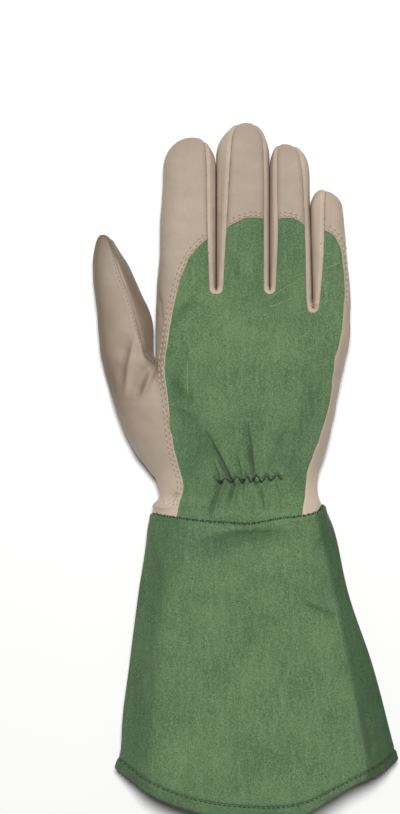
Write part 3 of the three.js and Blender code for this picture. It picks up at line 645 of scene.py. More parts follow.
def walled(mesh, wall, dip, swelling, sink=0.0, proud=None, sides=0.0, shades=()):
    """A panel from a cut form: the outer skin alone, its edges dipped into the seams and swollen
    beside them, and then given its wall on the inside. An edge along the path called proud lies
    on top of its neighbour. Marks the colour that stands in for light: grime and painted shade by
    how near each point is to a seam, painted shade along deep folds, and painted shade by how far
    the skin there turns to the side or lies under a shade: the shades are a plan path, reach and depth."""
    count = len(mesh.polygons)
    kept = np.zeros(count, dtype=np.int32)
    mesh.attributes["outside"].data.foreach_get("value", kept)
    starts, sizes = np.empty(count, dtype=np.int64), np.empty(count, dtype=np.int64)
    mesh.polygons.foreach_get("loop_start", starts)
    mesh.polygons.foreach_get("loop_total", sizes)
    corners = np.empty(len(mesh.loops), dtype=np.int64)
    mesh.loops.foreach_get("vertex_index", corners)
    points = point_array(mesh)
    faces = [corners[s : s + n] for s, n, keep in zip(starts, sizes, kept) if keep]
    used, faces_flat = np.unique(np.concatenate(faces), return_inverse=True)
    bounds = np.concatenate([[0], np.cumsum([len(f) for f in faces])])
    faces = [faces_flat[a:b].tolist() for a, b in zip(bounds[:-1], bounds[1:])]
    panel = made_mesh(points[used], faces)
    tidy(panel)
    points = point_array(panel)
    normals = point_array(panel, "normal")
    keys = np.concatenate([list(p.edge_keys) for p in panel.polygons])
    pairs, uses = np.unique(np.sort(keys, axis=1), axis=0, return_counts=True)
    rim = pairs[uses == 1]
    ends = points[rim[:, 0]], points[rim[:, 1]]
    samples = np.concatenate([ends[0] * (1 - t) + ends[1] * t for t in (0, 0.33, 0.66)])
    move = np.full(len(points), -sink)
    if proud is not None:
        on_top = to_line(samples, proud)[0] < 0.7
        move -= 0.3 * np.exp(-((distances(points, samples[on_top]) / 0.6) ** 2))
        samples = samples[~on_top]
    away = distances(points, samples)
    move += swelling * np.exp(-(((away - 2.2) / 1.5) ** 2)) - dip * np.exp(-((away / 0.7) ** 2))
    # Grime and painted shade along the seams; the loop below adds painted shade along the bottoms of deep
    # folds
    grime_and_painted_shade = np.exp(-away / 1.1)
    # Painted shade where the skin turns to the side and along the shades' paths
    turned = sides * np.clip((0.985 - np.abs(normals[:, 2])) / 0.4, 0, 1)
    turned *= np.clip((points[:, 1] + 30) / 40, 0, 1)
    for path, reach, deep in shades:
        turned += deep * np.exp(-((to_line(points, path)[0] / reach) ** 2)) * (points[:, 2] > 6)
    for path, wide, deep, _ in FOLDS:
        if deep > 0.9:
            from_fold, share, side = to_line(points, path)
            taper = np.clip(np.minimum(share, 1 - share) * 5, 0, 1) * (points[:, 2] > SEAM_HEIGHT)
            near = 0.3 * np.exp(-from_fold / (0.4 * wide)) * (side < 0)
            if wide < GATHER:
                taper = np.clip(share * 2.4, 0, 1) ** 1.5 * np.clip((1 - share) * 5, 0, 1)
                taper *= points[:, 2] > SEAM_HEIGHT
                near = near + np.exp(-((from_fold / 0.5) ** 2))
            grime_and_painted_shade = np.maximum(grime_and_painted_shade, np.minimum(0.85, deep / 2.4 * taper * near))
    put(panel, points + normals * move[:, None])
    # The seam mark carries grime and painted shade, the side mark painted shade
    marked(panel, "seam", grime_and_painted_shade)
    marked(panel, "side", turned)
    one = bpy.data.objects.new("cut", panel)
    bpy.context.scene.collection.objects.link(one)
    thick = one.modifiers.new("wall", "SOLIDIFY")
    thick.thickness = wall
    thick.offset = -1
    depsgraph = bpy.context.evaluated_depsgraph_get()
    made = bpy.data.meshes.new_from_object(one.evaluated_get(depsgraph))
    bpy.data.objects.remove(one)
    put(made, point_array(made))
    made.update()
    return made


finished = {}


def sewn_in(name, mesh, slot, material, *nodes):
    """A finished piece in metres, in the place of its plain solid."""
    mesh = mesh.copy()
    mesh.name = name
    finished[name] = mesh.copy()
    points = point_array(mesh) / 1000
    mesh.vertices.foreach_set("co", points.ravel())
    mesh.polygons.foreach_set("use_smooth", np.ones(len(mesh.polygons), dtype=bool))
    mesh.materials.clear()
    mesh.materials.append(material)
    mesh.update()
    piece = bpy.data.objects.new(name, mesh)
    bpy.context.scene.collection.objects.link(piece)
    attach(piece, "root")
    if nodes:
        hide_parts(*nodes)
    return piece


# Pale, undyed grain leather: smooth and slightly waxy, with a fine pebbled grain and a few soft
# creases. Its paint carries a little grime and painted shade along the seams, and painted shade
# in deep folds and on sides that turn away.
class Shade:
    """A socket of a material's nodes that can be added to and multiplied like a number."""

    def __init__(self, recipe, socket):
        self.recipe, self.socket = recipe, socket

    def joined(self, other, operation):
        """This number and another, added or multiplied."""
        return self.recipe.node("ShaderNodeMath", {"operation": operation}, {0: self, 1: other})

    def __add__(self, other):
        return self.joined(other, "ADD")

    __radd__ = __add__

    def __mul__(self, other):
        return self.joined(other, "MULTIPLY")

    __rmul__ = __mul__


class Recipe:
    """The nodes of one material."""

    def __init__(self, name):
        self.material = bpy.data.materials.new(name)
        self.material.use_nodes = True
        self.tree = self.material.node_tree
        self.tree.nodes.clear()

    def node(self, kind, settings=None, sockets=None, out=0):
        """Any node: its type, its settings, the values or links of its sockets, and its outlet."""
        made = self.tree.nodes.new(kind)
        for key, value in (settings or {}).items():
            setattr(made, key, value)
        for key, value in (sockets or {}).items():
            if isinstance(value, Shade):
                self.tree.links.new(value.socket, made.inputs[key])
            else:
                made.inputs[key].default_value = value
        return Shade(self, made.outputs[out]) if made.outputs else None

    def place(self):
        """Where the shaded place lies, in metres."""
        return self.node("ShaderNodeTexCoord", None, None, "Object")

    def mark(self, name):
        """What the points of the piece are marked with under a name."""
        return self.node("ShaderNodeAttribute", {"attribute_name": name}, None, "Fac")

    def noise(self, where, scale, detail=2.0, roughness=0.5):
        """Soft, cloudy unevenness; the scale is in lumps per metre."""
        sockets = {"Vector": where, "Scale": scale, "Detail": detail, "Roughness": roughness}
        return self.node("ShaderNodeTexNoise", None, sockets)

    def between(self, share, first, second):
        """A colour that runs from the first to the second."""
        sockets = {0: share, 6: first, 7: second}
        return self.node("ShaderNodeMix", {"data_type": "RGBA", "clamp_factor": True}, sockets, 2)

    def sharpened(self, value, low, high):
        """The value stretched so that low becomes 0 and high becomes 1."""
        sockets = {"Value": value, "From Min": low, "From Max": high}
        return self.node("ShaderNodeMapRange", {"clamp": True}, sockets)

    def bump(self, height, strength):
        """A fine relief of up to 0.3 mm."""
        sockets = {"Height": height, "Strength": strength, "Distance": 0.0003}
        return self.node("ShaderNodeBump", None, sockets)

    def surface(self, sockets):
        """The material, once its one shader is given its sockets."""
        shader = self.node("ShaderNodeBsdfPrincipled", None, sockets)
        self.node("ShaderNodeOutputMaterial", None, {"Surface": shader})
        return self.material


def paint(red, green, blue, strength=1.0):
    """A colour as a paint chart gives it, 0 to 255, made linear."""
    linear = [((c / 255 + 0.055) / 1.055) ** 2.4 for c in (red, green, blue)]
    return (*[c * strength for c in linear], 1.0)


def grain_leather(name, lighter=1.0, sheen=0.12):
    """Leather: how much lighter its paint is, and how strongly it shines at a flat angle."""
    recipe = Recipe(name)
    where, seam, side = recipe.place(), recipe.mark("seam"), recipe.mark("side")
    patches = recipe.noise(where, 26, 3)
    mottle = recipe.noise(where, 160, 4, 0.65)
    grain = recipe.noise(where, 1500, 3, 0.6)
    pores = recipe.node("ShaderNodeTexVoronoi", {"feature": "F1"}, {"Vector": where, "Scale": 1300})
    dull, clean = paint(162, 147, 131, lighter), paint(172, 156, 139, lighter)
    pale = recipe.between(recipe.sharpened(patches, 0.35, 0.65), dull, clean)
    worn = recipe.between(recipe.sharpened(mottle, 0.35, 0.75) * 0.35, pale, paint(150, 134, 117, lighter))
    speck = recipe.between(recipe.sharpened(grain, 0.45, 0.8) * 0.2, worn, paint(137, 121, 105, lighter))
    along = recipe.node("ShaderNodeSeparateXYZ", None, {"Vector": where}, 1)
    # The leather's paint turns paler towards the wrist
    paler_to_wrist = recipe.between(recipe.sharpened(along, -0.022, -0.052), speck, paint(186, 171, 153, lighter))
    # Painted shade on sides that turn away and along the pieces' shaded paths
    side_shaded = recipe.between(side * 0.62, paler_to_wrist, paint(90, 72, 46, lighter))
    # Grime and painted shade along the seams, and painted shade in deep folds
    colour = recipe.between(recipe.sharpened(seam, 0.35, 1.0) * 0.16, side_shaded, paint(100, 84, 68, lighter))
    return recipe.surface(
        {
            "Base Color": colour,
            "Roughness": recipe.sharpened(mottle, 0, 1) * 0.12 + 0.56,
            "Normal": recipe.bump(pores * 0.5 + grain * 0.5 + mottle * 1.2, 0.22),
            "Specular IOR Level": 0.35,
            "Sheen Weight": sheen,
        }
    )


LEATHER_WALL = 1.3
leather = grain_leather("grain_leather")
take_slits = [(TAKE, slit) for slit in slits]

# Trank: the palm, the undersides of the fingers and the back of the forefinger are one hide.
# Painted shade darkens it a little along the forefinger's outer side and from there down to the thumb.
not_forefinger = cut(
    block(everywhere, SEAM_HEIGHT - SEAM_GAP / 2), (TAKE, block(within(forefinger_plan)))
)
palm = cut(
    skin,
    (TAKE, not_forefinger),
    *take_slits,
    (TAKE, back_cut),
    (TAKE, gusset_cut),
    (TAKE, block(around(thumb_palm_plan), -FAR, SEAM_HEIGHT + SEAM_GAP / 2)),
)
trank_shades = [
    ([(-57.5, 130), (-57.2, 90), (-57, 60)], 2.2, 0.3),
    ([(-57, 52), (-54, 38), (-51.6, 24)], 2.6, 0.5),
]
trank = walled(
    palm, LEATHER_WALL, dip=0.2, swelling=0.3, proud=back_plan, shades=trank_shades
)
sewn_in("trank_leather", trank, "grain_leather", leather, "palm")

# Fourchettes: leather strips that line the slits between the fingers and turn round each crotch
# in a U. Their paint is lighter, because the slits shade it. Each slit closes to a line of
# painted shade that ends in a small painted dark spot, the shade of the pit at the crotch.
STRIP_WALL = 1.2
SLIT_SHADE_DEPTHS = (1.5, 0.7, 1.4)
PIT_SHADE_DEPTH = 1.6
STRIPS = ("fourchette_index_middle", "fourchette_middle_ring", "fourchette_ring_little")
strip_leather = grain_leather("fourchette_leather", 1.23, 0.02)
for row, deep, name in zip(FOURCHETTES, SLIT_SHADE_DEPTHS, STRIPS):
    strip = cut(skin, (KEEP, block(within(fourchette_outline(*row)))))
    number, crotch = row[:2]
    slit = [(line_x(FINGER_LINES[number], y), y) for y in (150, crotch)]
    pit_shade = [(slit[1][0], crotch + 0.6), (slit[1][0], crotch - 0.4)]
    shades = [(slit, 0.45, deep), (pit_shade, 0.8, PIT_SHADE_DEPTH)]
    strip = walled(strip, STRIP_WALL, dip=0.18, swelling=0.45, shades=shades)
    sewn_in(name + "_leather", strip, "grain_leather", strip_leather, name)

# Fingertips and the strip down the little finger side: caps of leather, stitched over the
# upper edge of the drill.
little_leather = grain_leather("little_leather", 1.04)
(before_middle, _), (after_middle, _), (after_ring, at_tip) = FINGER_LINES[1:4]
tip_y = CROTCH + REACH
middle_plan = [
    (before_middle, CROTCH), (after_middle, CROTCH), (after_middle, FAR), (before_middle, FAR),
]
ring_plan = [
    (after_middle, CROTCH), (after_ring, CROTCH), (at_tip, tip_y), (at_tip, FAR),
    (after_middle, FAR),
]
little_plan = [
    (after_ring, CROTCH), (17, -39), (17, -FAR), (FAR, -FAR), (FAR, FAR), (at_tip, FAR),
    (at_tip, tip_y),
]
for name, plan, hide in (
    ("middle_tip", middle_plan, leather),
    ("ring_tip", ring_plan, leather),
    ("little_back", little_plan, little_leather),
):
    cap = cut(skin, (KEEP, upper(within(plan))), *take_slits, (TAKE, back_cut))
    cap = walled(cap, LEATHER_WALL, dip=0.2, swelling=0.3, proud=back_plan)
    sewn_in(name + "_leather", cap, "grain_leather", hide, name)

# Thumb: a back that runs down to the wrist, an underside let into the palm, and a side strip
# that faces the forefinger. Painted shade darkens its tip, its outer side and the folds at its
# root, and the sides of its back and side strip where they turn away.
thumb_back = cut(
    skin, (KEEP, upper(within(thumb_back_plan))), (TAKE, back_cut), (TAKE, gusset_cut)
)
thumb_shades = [
    ([(-86, 97), (-92, 88), (-94, 60), (-91, 25), (-84, 0)], 10, 0.2),
    ([(-86, 94), (-83, 88)], 9, 0.25),
    ([(-61, 22), (-65, 15), (-70, 4)], 4.5, 0.4),
    ([(-75, 34), (-78.5, 22), (-81, 8)], 4.5, 0.14),
]
thumb_back = walled(
    thumb_back, LEATHER_WALL, dip=0.2, swelling=0.3, proud=back_plan, sides=0.92,
    shades=thumb_shades,
)
sewn_in("thumb_back_leather", thumb_back, "grain_leather", leather, "thumb_back")
thumb_palm = cut(skin, (KEEP, lower(within(thumb_palm_plan))), (TAKE, gusset_cut))
thumb_palm = walled(thumb_palm, LEATHER_WALL, dip=0.3, swelling=0.25)
sewn_in("thumb_palm_leather", thumb_palm, "grain_leather", leather, "thumb_palm")
gusset = cut(skin, (KEEP, block(within(gusset_plan))))
gusset = walled(gusset, STRIP_WALL, dip=0.2, swelling=0.25, sides=0.95)
sewn_in("thumb_gusset_leather", gusset, "grain_leather", leather, "thumb_gusset")


# Green cotton drill, the cloth of the back and the cuff: twill-woven from flecked yarn and brushed,
# so that its slanting lines are soft. Its paint is darker along the seams, as grime and painted
# shade, and in the folds and on turned sides, as painted shade.
def cotton_drill(name, lighter=1.0):
    """Drill, and how much lighter its paint is."""
    recipe = Recipe(name)
    where, seam, side = recipe.place(), recipe.mark("seam"), recipe.mark("side")
    long_way = recipe.node("ShaderNodeMapping", None, {"Vector": where, "Scale": (1, 0.12, 1)})
    cloud = recipe.noise(where, 42, 4, 0.62)
    slub = recipe.noise(long_way, 480, 3, 0.7)
    fleck = recipe.noise(where, 950, 2, 0.75)
    lint = recipe.noise(where, 1500, 2, 0.7)
    slant = recipe.node("ShaderNodeMapping", None, {"Vector": where, "Rotation": (0, 0, 0.95)})
    twill = recipe.node(
        "ShaderNodeTexWave",
        {"wave_type": "BANDS", "bands_direction": "X"},
        {"Vector": slant, "Scale": 420, "Distortion": 1.6, "Detail": 2.0, "Detail Scale": 1.5},
        "Fac",
    )
    deep_green, mid_green = paint(79, 106, 72, lighter), paint(100, 128, 89, lighter)
    base = recipe.between(recipe.sharpened(cloud, 0.3, 0.7), deep_green, mid_green)
    warp = recipe.between(recipe.sharpened(slub, 0.45, 0.7) * 0.6, base, paint(114, 140, 103, lighter))
    yarn = recipe.between(recipe.sharpened(fleck, 0.45, 0.7) * 0.6, warp, paint(126, 152, 114, lighter))
    deep = recipe.between(recipe.sharpened(lint, 0.48, 0.68) * 0.75, yarn, paint(56, 82, 56, lighter))
    # Painted shade on turned sides and shaded paths, then grime and painted shade along the seams and
    # painted shade in the folds
    shaded = recipe.between(side * 0.42, deep, paint(20, 52, 31, lighter))
    colour = recipe.between(recipe.sharpened(seam, 0.25, 1.0) * 0.65, shaded, paint(34, 50, 33, lighter))
    return recipe.surface(
        {
            "Base Color": colour,
            "Roughness": lint * 0.1 + 0.86,
            "Normal": recipe.bump(twill * 0.6 + fleck * 0.9 + lint * 0.5, 0.5),
            "Specular IOR Level": 0.15,
            "Sheen Weight": 0.08,
            "Sheen Roughness": 0.5,
        }
    )


drill = cotton_drill("cotton_drill")

# The back of the hand: one panel of drill, whose edge lies under the leather that is stitched
# over it. Painted shade darkens its hollows: beside the thumb, on both sides of the gathers,
# along the wrist seam and, softly, on the fingers.
DRILL_WALL = 1.0
UNDERLAP = 1.3
under_strips = [block(inset(fourchette_outline(*row), UNDERLAP)) for row in FOURCHETTES]
back = cut(
    skin,
    (KEEP, block(inset(back_plan, -UNDERLAP), SEAM_HEIGHT)),
    *[(TAKE, slit) for slit in under_strips],
)
back_shades = [
    ([(-42, -4), (-38, -16), (-33, -28), (-36, -42)], 9, 0.62),
    ([(-30, -20), (-25, -28)], 4, 0.3),
    ([(-43, 24), (-46, 4)], 4, 0.45),
    ([(34, 4), (27, -14), (20, -30), (24, -46)], 6, 0.45),
    ([(16, -16), (11, -32), (8, -44)], 2.5, 0.3),
    ([(-20, -69), (0, -70), (14, -68)], 2.5, 0.3),
    ([(-36.5, 58.5), (-42, 52.5), (-48, 45)], 2.2, 0.6),
    ([(-48, 12.5), (-43, 7), (-38, 2)], 2.4, 0.5),
    ([(0, 62), (14, 50), (26, 46)], 9, 0.22),
    ([(14, 88), (24, 78)], 8, 0.15),
    ([(-24, 88), (0, 98), (30, 94)], 14, 0.18),
]
back = walled(back, DRILL_WALL, dip=0.45, swelling=0.0, sink=0.7, shades=back_shades)
back_piece = sewn_in("back_drill", back, "cotton_drill", drill, "back_panel")

# Cuff: one flared tube of drill, sewn over the end of the hand on the dark seam at the wrist. It
# lies a little open, with a soft crease down its right side. Painted shade darkens its flanks
# beyond the creases, the hollow below the wrist seam and the short fold beside the right crease.
CUFF_ROWS = [
    (-250, -84, 94.8, 39.8),
    (-214, -82.1, 85.7, 38),
    (-202, -78.7, 82.5, 37.2),
    (-187, -77.6, 78.4, 36.1),
    (-153, -73.2, 68.9, 33.4),
    (-111, -67.9, 55.2, 30),
    (-83, -63.5, 48.8, 28.1),
    (-73, -62.4, 46, 28.4),
    (-66, -60.8, 43.1, 27.8),
    (-58.5, -58.2, 40.2, 26.8),
    (-50, -57.4, 38.4, 26.3),
]
CUFF_TOP = [
    (-76, -62.6), (-64, -63.6), (-59.3, -64.2), (-45.2, -66.2), (-31.3, -68), (-15.1, -69.1),
    (-4.1, -69.7), (4, -68.6), (14.5, -66.6), (25.5, -65.4), (35.4, -63.2), (39.8, -59.6),
    (43.5, -57), (50, -55),
]
# x and y of the hem's edge, and how much of the hem shows there
HEM_EDGE = [
    (-110, -198, 8),
    (-81.8, -213.3, 8),
    (-58.6, -225.9, 8),
    (-32.4, -234.5, 8),
    (0, -238.2, 8),
    (24.6, -236.6, 8),
    (43.4, -226.6, 6),
    (58, -218.5, 5),
    (74, -214, 6.4),
    (86.7, -206, 8),
    (113, -186, 8),
]
CUFF_STEP = 2.0


def cuff_surface(columns):
    """Close sections of the cuff, each with the same number of points round it."""
    ys = np.arange(-250.0, -49.0, CUFF_STEP)
    rings = []
    for y, row in zip(ys, rows_at(CUFF_ROWS, ys)):
        creases = (np.interp(y, [-100, -76], [0.76, 0.98]), np.interp(y, [-84, -68], [0.73, 0.97]))
        one = ring(y, *row, columns, creases=creases)
        for _ in range(4):
            one = 0.5 * one + 0.25 * (np.roll(one, 1, axis=0) + np.roll(one, -1, axis=0))
        one[:, 2] = np.maximum(one[:, 2], 0)
        rings.append(one)
    return ys, np.array(rings)


def on_cuff(surface, y):
    """The places on the cuff at heights y, one for each column of points in a row."""
    ys, rings = surface
    i = np.clip(((y - ys[0]) / CUFF_STEP).astype(int), 0, len(ys) - 2)
    u = ((y - ys[i]) / CUFF_STEP)[..., None]
    columns = np.broadcast_to(np.arange(rings.shape[1]), y.shape)
    return rings[i, columns] * (1 - u) + rings[i + 1, columns] * u


def edge_on_cuff(surface, edge, start):
    """Where a plan edge, drawn as a smooth line, crosses each column of the cuff."""
    edge = curve(edge, 400)
    y = np.full(surface[1].shape[1], float(start))
    for _ in range(6):
        y = np.interp(on_cuff(surface, y)[:, 0], edge[:, 0], edge[:, 1])
    return y


def outward(grid):
    """Normals of a tube of points, rows first."""
    along = np.gradient(grid, axis=0)
    round_it = np.roll(grid, -1, axis=1) - np.roll(grid, 1, axis=1)
    normal = np.cross(round_it, along)
    normal /= np.linalg.norm(normal, axis=2)[..., None]
    middle = grid.mean(axis=1, keepdims=True)
    flip = np.sign(np.sum((grid - middle) * normal, axis=(1, 2)))
    return normal * flip[:, None, None]


# Dents and folds of the cuff, in the same columns as those of the hand: first the hollow below
# the roll at the wrist seam, then the short fold beside the right crease
HOLLOW = [(-40, -87), (-26, -81.5), (-12, -77.5), (0, -75), (12, -73.8), (28, -73)]
SHORT_FOLD = [(26, -115), (38, -120.5), (49, -125)]
CUFF_FOLDS = [
    (HOLLOW, 9.0, 2.8, 0.9),
    (SHORT_FOLD, 3.4, 1.8, 0.6),
    ([(62, -172), (66, -190), (69, -209)], 4.0, 1.7, 0.7),
    ([(-56, -96), (-61, -125), (-66, -160)], 9.0, 1.0, 0.5),
]


def cuff_painted_shade(grid):
    """Painted shade at each place of the cuff: how far it lies beyond the crease down either side,
    or in the hollow at the wrist or the short fold."""
    flat = grid.reshape(-1, 3)
    x, y = flat[:, 0], flat[:, 1]
    right_crease = np.interp(y, [-205, -119, -65], [62.5, 46.5, 34])
    left_crease = np.interp(y, [-205, -129, -89, -66], [-62, -56, -46, -40])
    right = np.clip((x - right_crease) / 2.5, 0, 1) * (1.1 + 0.02 * (x - right_crease))
    left = np.clip((left_crease - x) / 20 + 0.5, 0, 1)
    rim = np.clip((left_crease - 8 - x) / 14, 0, 1)
    hollow = np.zeros(len(flat))
    for path, deep, above, below in ((HOLLOW, 0.95, 2.5, 7.0), (SHORT_FOLD, 0.4, 2.2, 2.2)):
        away, share, side = to_line(flat, path)
        taper = np.clip(np.minimum(share, 1 - share) * 3, 0, 1)
        hollow += deep * np.exp(-((away / np.where(side > 0, above, below)) ** 2)) * taper
    on_top = np.clip((flat[:, 2] - 3) / 3, 0.5, 1)
    left = 0.76 * left * left * (3 - 2 * left) * (1 - 0.45 * rim)
    return ((right + left + hollow) * on_top).reshape(grid.shape[:2])


def drape(grid):
    """How far the drill of the cuff swells out or folds in at each place of its tube."""
    flat = grid.reshape(-1, 3)
    on_top = np.clip((flat[:, 2] - SEAM_HEIGHT) / 5, 0, 1)
    swell = 0.5 * ripple(flat, 95, 11) + 0.2 * ripple(flat, 34, 12)
    near_wrist = np.clip((flat[:, 1] + 90) / 20, 0, 1)
    swell *= 1 - 0.8 * near_wrist
    swell += folded(flat, CUFF_FOLDS, on_top)
    roll = window(flat[:, 0], -26, 18, 14) * np.exp(-(((flat[:, 1] + 71.5) / 2.0) ** 2))
    swell += 0.8 * roll * on_top
    swell *= np.clip(flat[:, 2] / 3, 0, 1)
    return swell.reshape(grid.shape[:2])


def drawn_down(grid):
    """The cuff's upper edge follows the hand down into the dip at the wrist seam."""
    flat = grid.reshape(-1, 3).copy()
    flat[:, 2] -= wrist_dip(flat) * np.clip((flat[:, 1] + 73.5) / 3.5, 0, 1)
    return flat.reshape(grid.shape)


def tube_wall(outer, inner, seam):
    """A closed wall between two tubes of points that share their ends, with the marks for grime and
    painted shade that the panels of the hand have."""
    loop = np.concatenate([outer, inner[::-1]])
    rows, count = loop.shape[:2]
    i = np.arange(count)
    j = (i + 1) % count
    faces = []
    for r in range(rows):
        a, b = r * count, ((r + 1) % rows) * count
        faces += np.stack([a + i, a + j, b + j, b + i], 1).tolist()
    mesh = made_mesh(loop.reshape(-1, 3), faces)
    work = bmesh.new()
    work.from_mesh(mesh)
    bmesh.ops.recalc_face_normals(work, faces=work.faces)
    work.to_mesh(mesh)
    work.free()
    turned = cuff_painted_shade(outer)
    marked(mesh, "seam", np.concatenate([seam, seam[::-1]]).ravel())
    marked(mesh, "side", np.concatenate([turned, turned[::-1]]).ravel())
    return mesh


columns = 300
tube = cuff_surface(columns)
top_y = edge_on_cuff(tube, CUFF_TOP, -66)
hem_y = edge_on_cuff(tube, [(x, y + shown) for x, y, shown in HEM_EDGE], -225)
edge_y = edge_on_cuff(tube, [(x, y) for x, y, _ in HEM_EDGE], -230)
near_edge = np.array([0, 0.4, 0.9, 1.6, 2.5])[:, None]
spread = np.linspace(0, 1, 120)[1:-1, None]
length = (top_y - hem_y)[None, :]
middle = near_edge[-1] + spread * (length - 2 * near_edge[-1])
down = np.concatenate([near_edge + 0 * length, middle, length - near_edge[::-1]])
grid = drawn_down(on_cuff(tube, top_y[None, :] - down))
way = outward(grid)
from_top, from_hem = down, length - down
swell = drape(grid)
swell += 0.5 * np.exp(-(((from_top - 2.2) / 1.6) ** 2)) - 0.75 * np.exp(-((from_top / 0.8) ** 2))
swell -= 0.4 * np.exp(-((from_hem / 0.9) ** 2))
cuff_outer = grid + way * swell[..., None]
cuff_outer[..., 2] = np.maximum(cuff_outer[..., 2], 0)
wall = np.where(from_top < 6, 0.8, 1.1)
cuff_inner = cuff_outer - way * wall[..., None]
# Grime and painted shade along the wrist seam and the hem's upper line
grime_and_painted_shade = 0.9 * np.exp(-from_top / 0.9) + 0.5 * np.exp(-from_hem / 0.7)
cuff_mesh = tube_wall(cuff_outer, cuff_inner, grime_and_painted_shade)
cuff = sewn_in("cuff_drill", cuff_mesh, "cotton_drill", drill, "cuff")

# Hem: the cuff's lower edge turned in twice, which makes it more than twice as thick as the
# cuff. Its drill is a little darker.
HALF_HEM = 1.2
share = np.array([0, 0.05, 0.12, 0.22, 0.35, 0.5, 0.65, 0.78, 0.88, 0.95, 0.985, 1.0])[:, None]
depth = (hem_y - edge_y)[None, :]
grid = on_cuff(tube, hem_y[None, :] - 0.12 - share * (depth - 0.12))
way = outward(grid)
from_line = share * depth
full = 0.45 * np.clip(from_line / 1.6, 0, 1) * np.sqrt(np.clip(1 - share**10, 0, 1))
swell = drape(grid) + full - 0.4 * np.exp(-((from_line / 0.9) ** 2))
swell += 0.12 * ripple(grid.reshape(-1, 3), 9, 21).reshape(swell.shape)
turned = np.sqrt(np.clip(1 - share**14, 0, 1))
hem_outer = grid + way * (swell - HALF_HEM * (1 - turned))[..., None]
hem_inner = grid + way * (swell - HALF_HEM - HALF_HEM * turned)[..., None]
for one in (hem_outer, hem_inner):
    one[..., 2] = np.maximum(one[..., 2], 0.02)
# Grime and painted shade along the hem's upper line
hem_mesh = tube_wall(hem_outer, hem_inner, 0.6 * np.exp(-from_line / 0.7) + 0 * depth)
hem = sewn_in("hem_drill", hem_mesh, "cotton_drill", cotton_drill("hem_drill", 0.84), "cuff_hem")

# Threads lie on the upper side of the finished pieces: each stitch is a short rounded bar whose
# ends go into the leather or cloth. A row follows a plan path, and leaves out places where
# another piece is on top.
points, faces, owners = [], [], []
for name, mesh in finished.items():
    start = len(points)
    points += [tuple(v.co) for v in mesh.vertices]
    faces += [[start + i for i in polygon.vertices] for polygon in mesh.polygons]
    owners += [name] * len(mesh.polygons)
sewn_surface = BVHTree.FromPolygons(points, faces)


def laid(x, y, allowed):
    """The place and normal of the upper surface at a plan place, if it is of an allowed piece."""
    place, normal, face, _ = sewn_surface.ray_cast(Vector((x, y, 90)), Vector((0, 0, -1)))
    if place is None or not any(part in owners[face] for part in allowed):
        return None
    return np.array(place), np.array(normal) * (1 if normal.z > 0 else -1)


def stitch(start, end, allowed, radius):
    """Places along one stitch, or nothing where its surface isn't there."""
    run = []
    for t in (0, 0.12, 0.3, 0.5, 0.7, 0.88, 1):
        hit = laid(*(start + (end - start) * t), allowed)
        if hit is None:
            return None
        run.append(hit[0] + hit[1] * radius * (1.5 * math.sin(math.pi * t) ** 0.5 - 0.9))
    return np.array(run)


def stitch_row(path, length, gap, allowed, radius, seed, low=-62.0):
    """The stitches of a row along a path, with a little unevenness."""
    dice = np.random.default_rng(seed)
    path = curve(path, 900)
    along = np.concatenate([[0], np.cumsum(np.hypot(*np.diff(path, axis=0).T))])
    runs = []
    at = 0.5
    while at + length < along[-1]:
        reach = length * dice.uniform(0.9, 1.08)
        ends = np.stack([np.interp((at, at + reach), along, path[:, k]) for k in range(2)], 1)
        start, end = ends + dice.normal(size=(2, 2)) * 0.07
        at += length + gap
        run = stitch(start, end, allowed, radius) if min(start[1], end[1]) > low else None
        if run is not None:
            runs.append(run)
    return runs


def threads(name, runs, radius, slot, material):
    """One piece of all the given stitches."""
    turn = np.linspace(0, 2 * np.pi, 7)[:-1]
    points, faces = [], []
    for run in runs:
        along = np.gradient(run, axis=0)
        along /= np.linalg.norm(along, axis=1)[:, None]
        side = np.cross(along, (0, 0, 1.0))
        side /= np.linalg.norm(side, axis=1)[:, None]
        up = np.cross(side, along)
        thick = radius * np.sqrt(np.clip(1 - np.linspace(-1, 1, len(run)) ** 4, 0.2, 1))
        start = len(points)
        for k in range(len(run)):
            way = np.cos(turn)[:, None] * side[k] + np.sin(turn)[:, None] * up[k]
            points += (run[k] + thick[k] * way).tolist()
        for k in range(len(run) - 1):
            a, b = start + 6 * k, start + 6 * k + 6
            faces += [[a + i, a + (i + 1) % 6, b + (i + 1) % 6, b + i] for i in range(6)]
        faces.append([start + i for i in range(6)][::-1])
        faces.append([start + 6 * (len(run) - 1) + i for i in range(6)])
    return sewn_in(name, made_mesh(points, faces), slot, material)


def plain_thread(name, colour):
    """Twisted thread of one colour."""
    recipe = Recipe(name)
    ply = recipe.noise(recipe.place(), 2500, 2)
    shade = recipe.between(ply * 0.35, colour, paint(60, 54, 44))
    return recipe.surface({"Base Color": shade, "Roughness": 0.8, "Specular IOR Level": 0.2})


# Two rows of pale stitches in the leather beside the drill back. On the little finger side they
# run down the finger only, and the outer row stops sooner.
EDGE_THREAD = 0.3
leathers = ("trank", "tip", "little_back", "thumb_back")
rows = []
for number, (distance, length) in enumerate(((1.4, 2.2), (3.3, 2.3))):
    beside = inset(back_plan, -distance)
    beside = beside[(beside[:, 1] > -64) & ((beside[:, 0] < 20) | (beside[:, 1] > 50 + 30 * number))]
    rows += stitch_row(beside[::4], length, 1.1, leathers, EDGE_THREAD, 40 + number)
pale_thread = plain_thread("pale_thread", paint(206, 192, 171))
threads("edge_stitches", rows, EDGE_THREAD, "grain_leather", pale_thread)

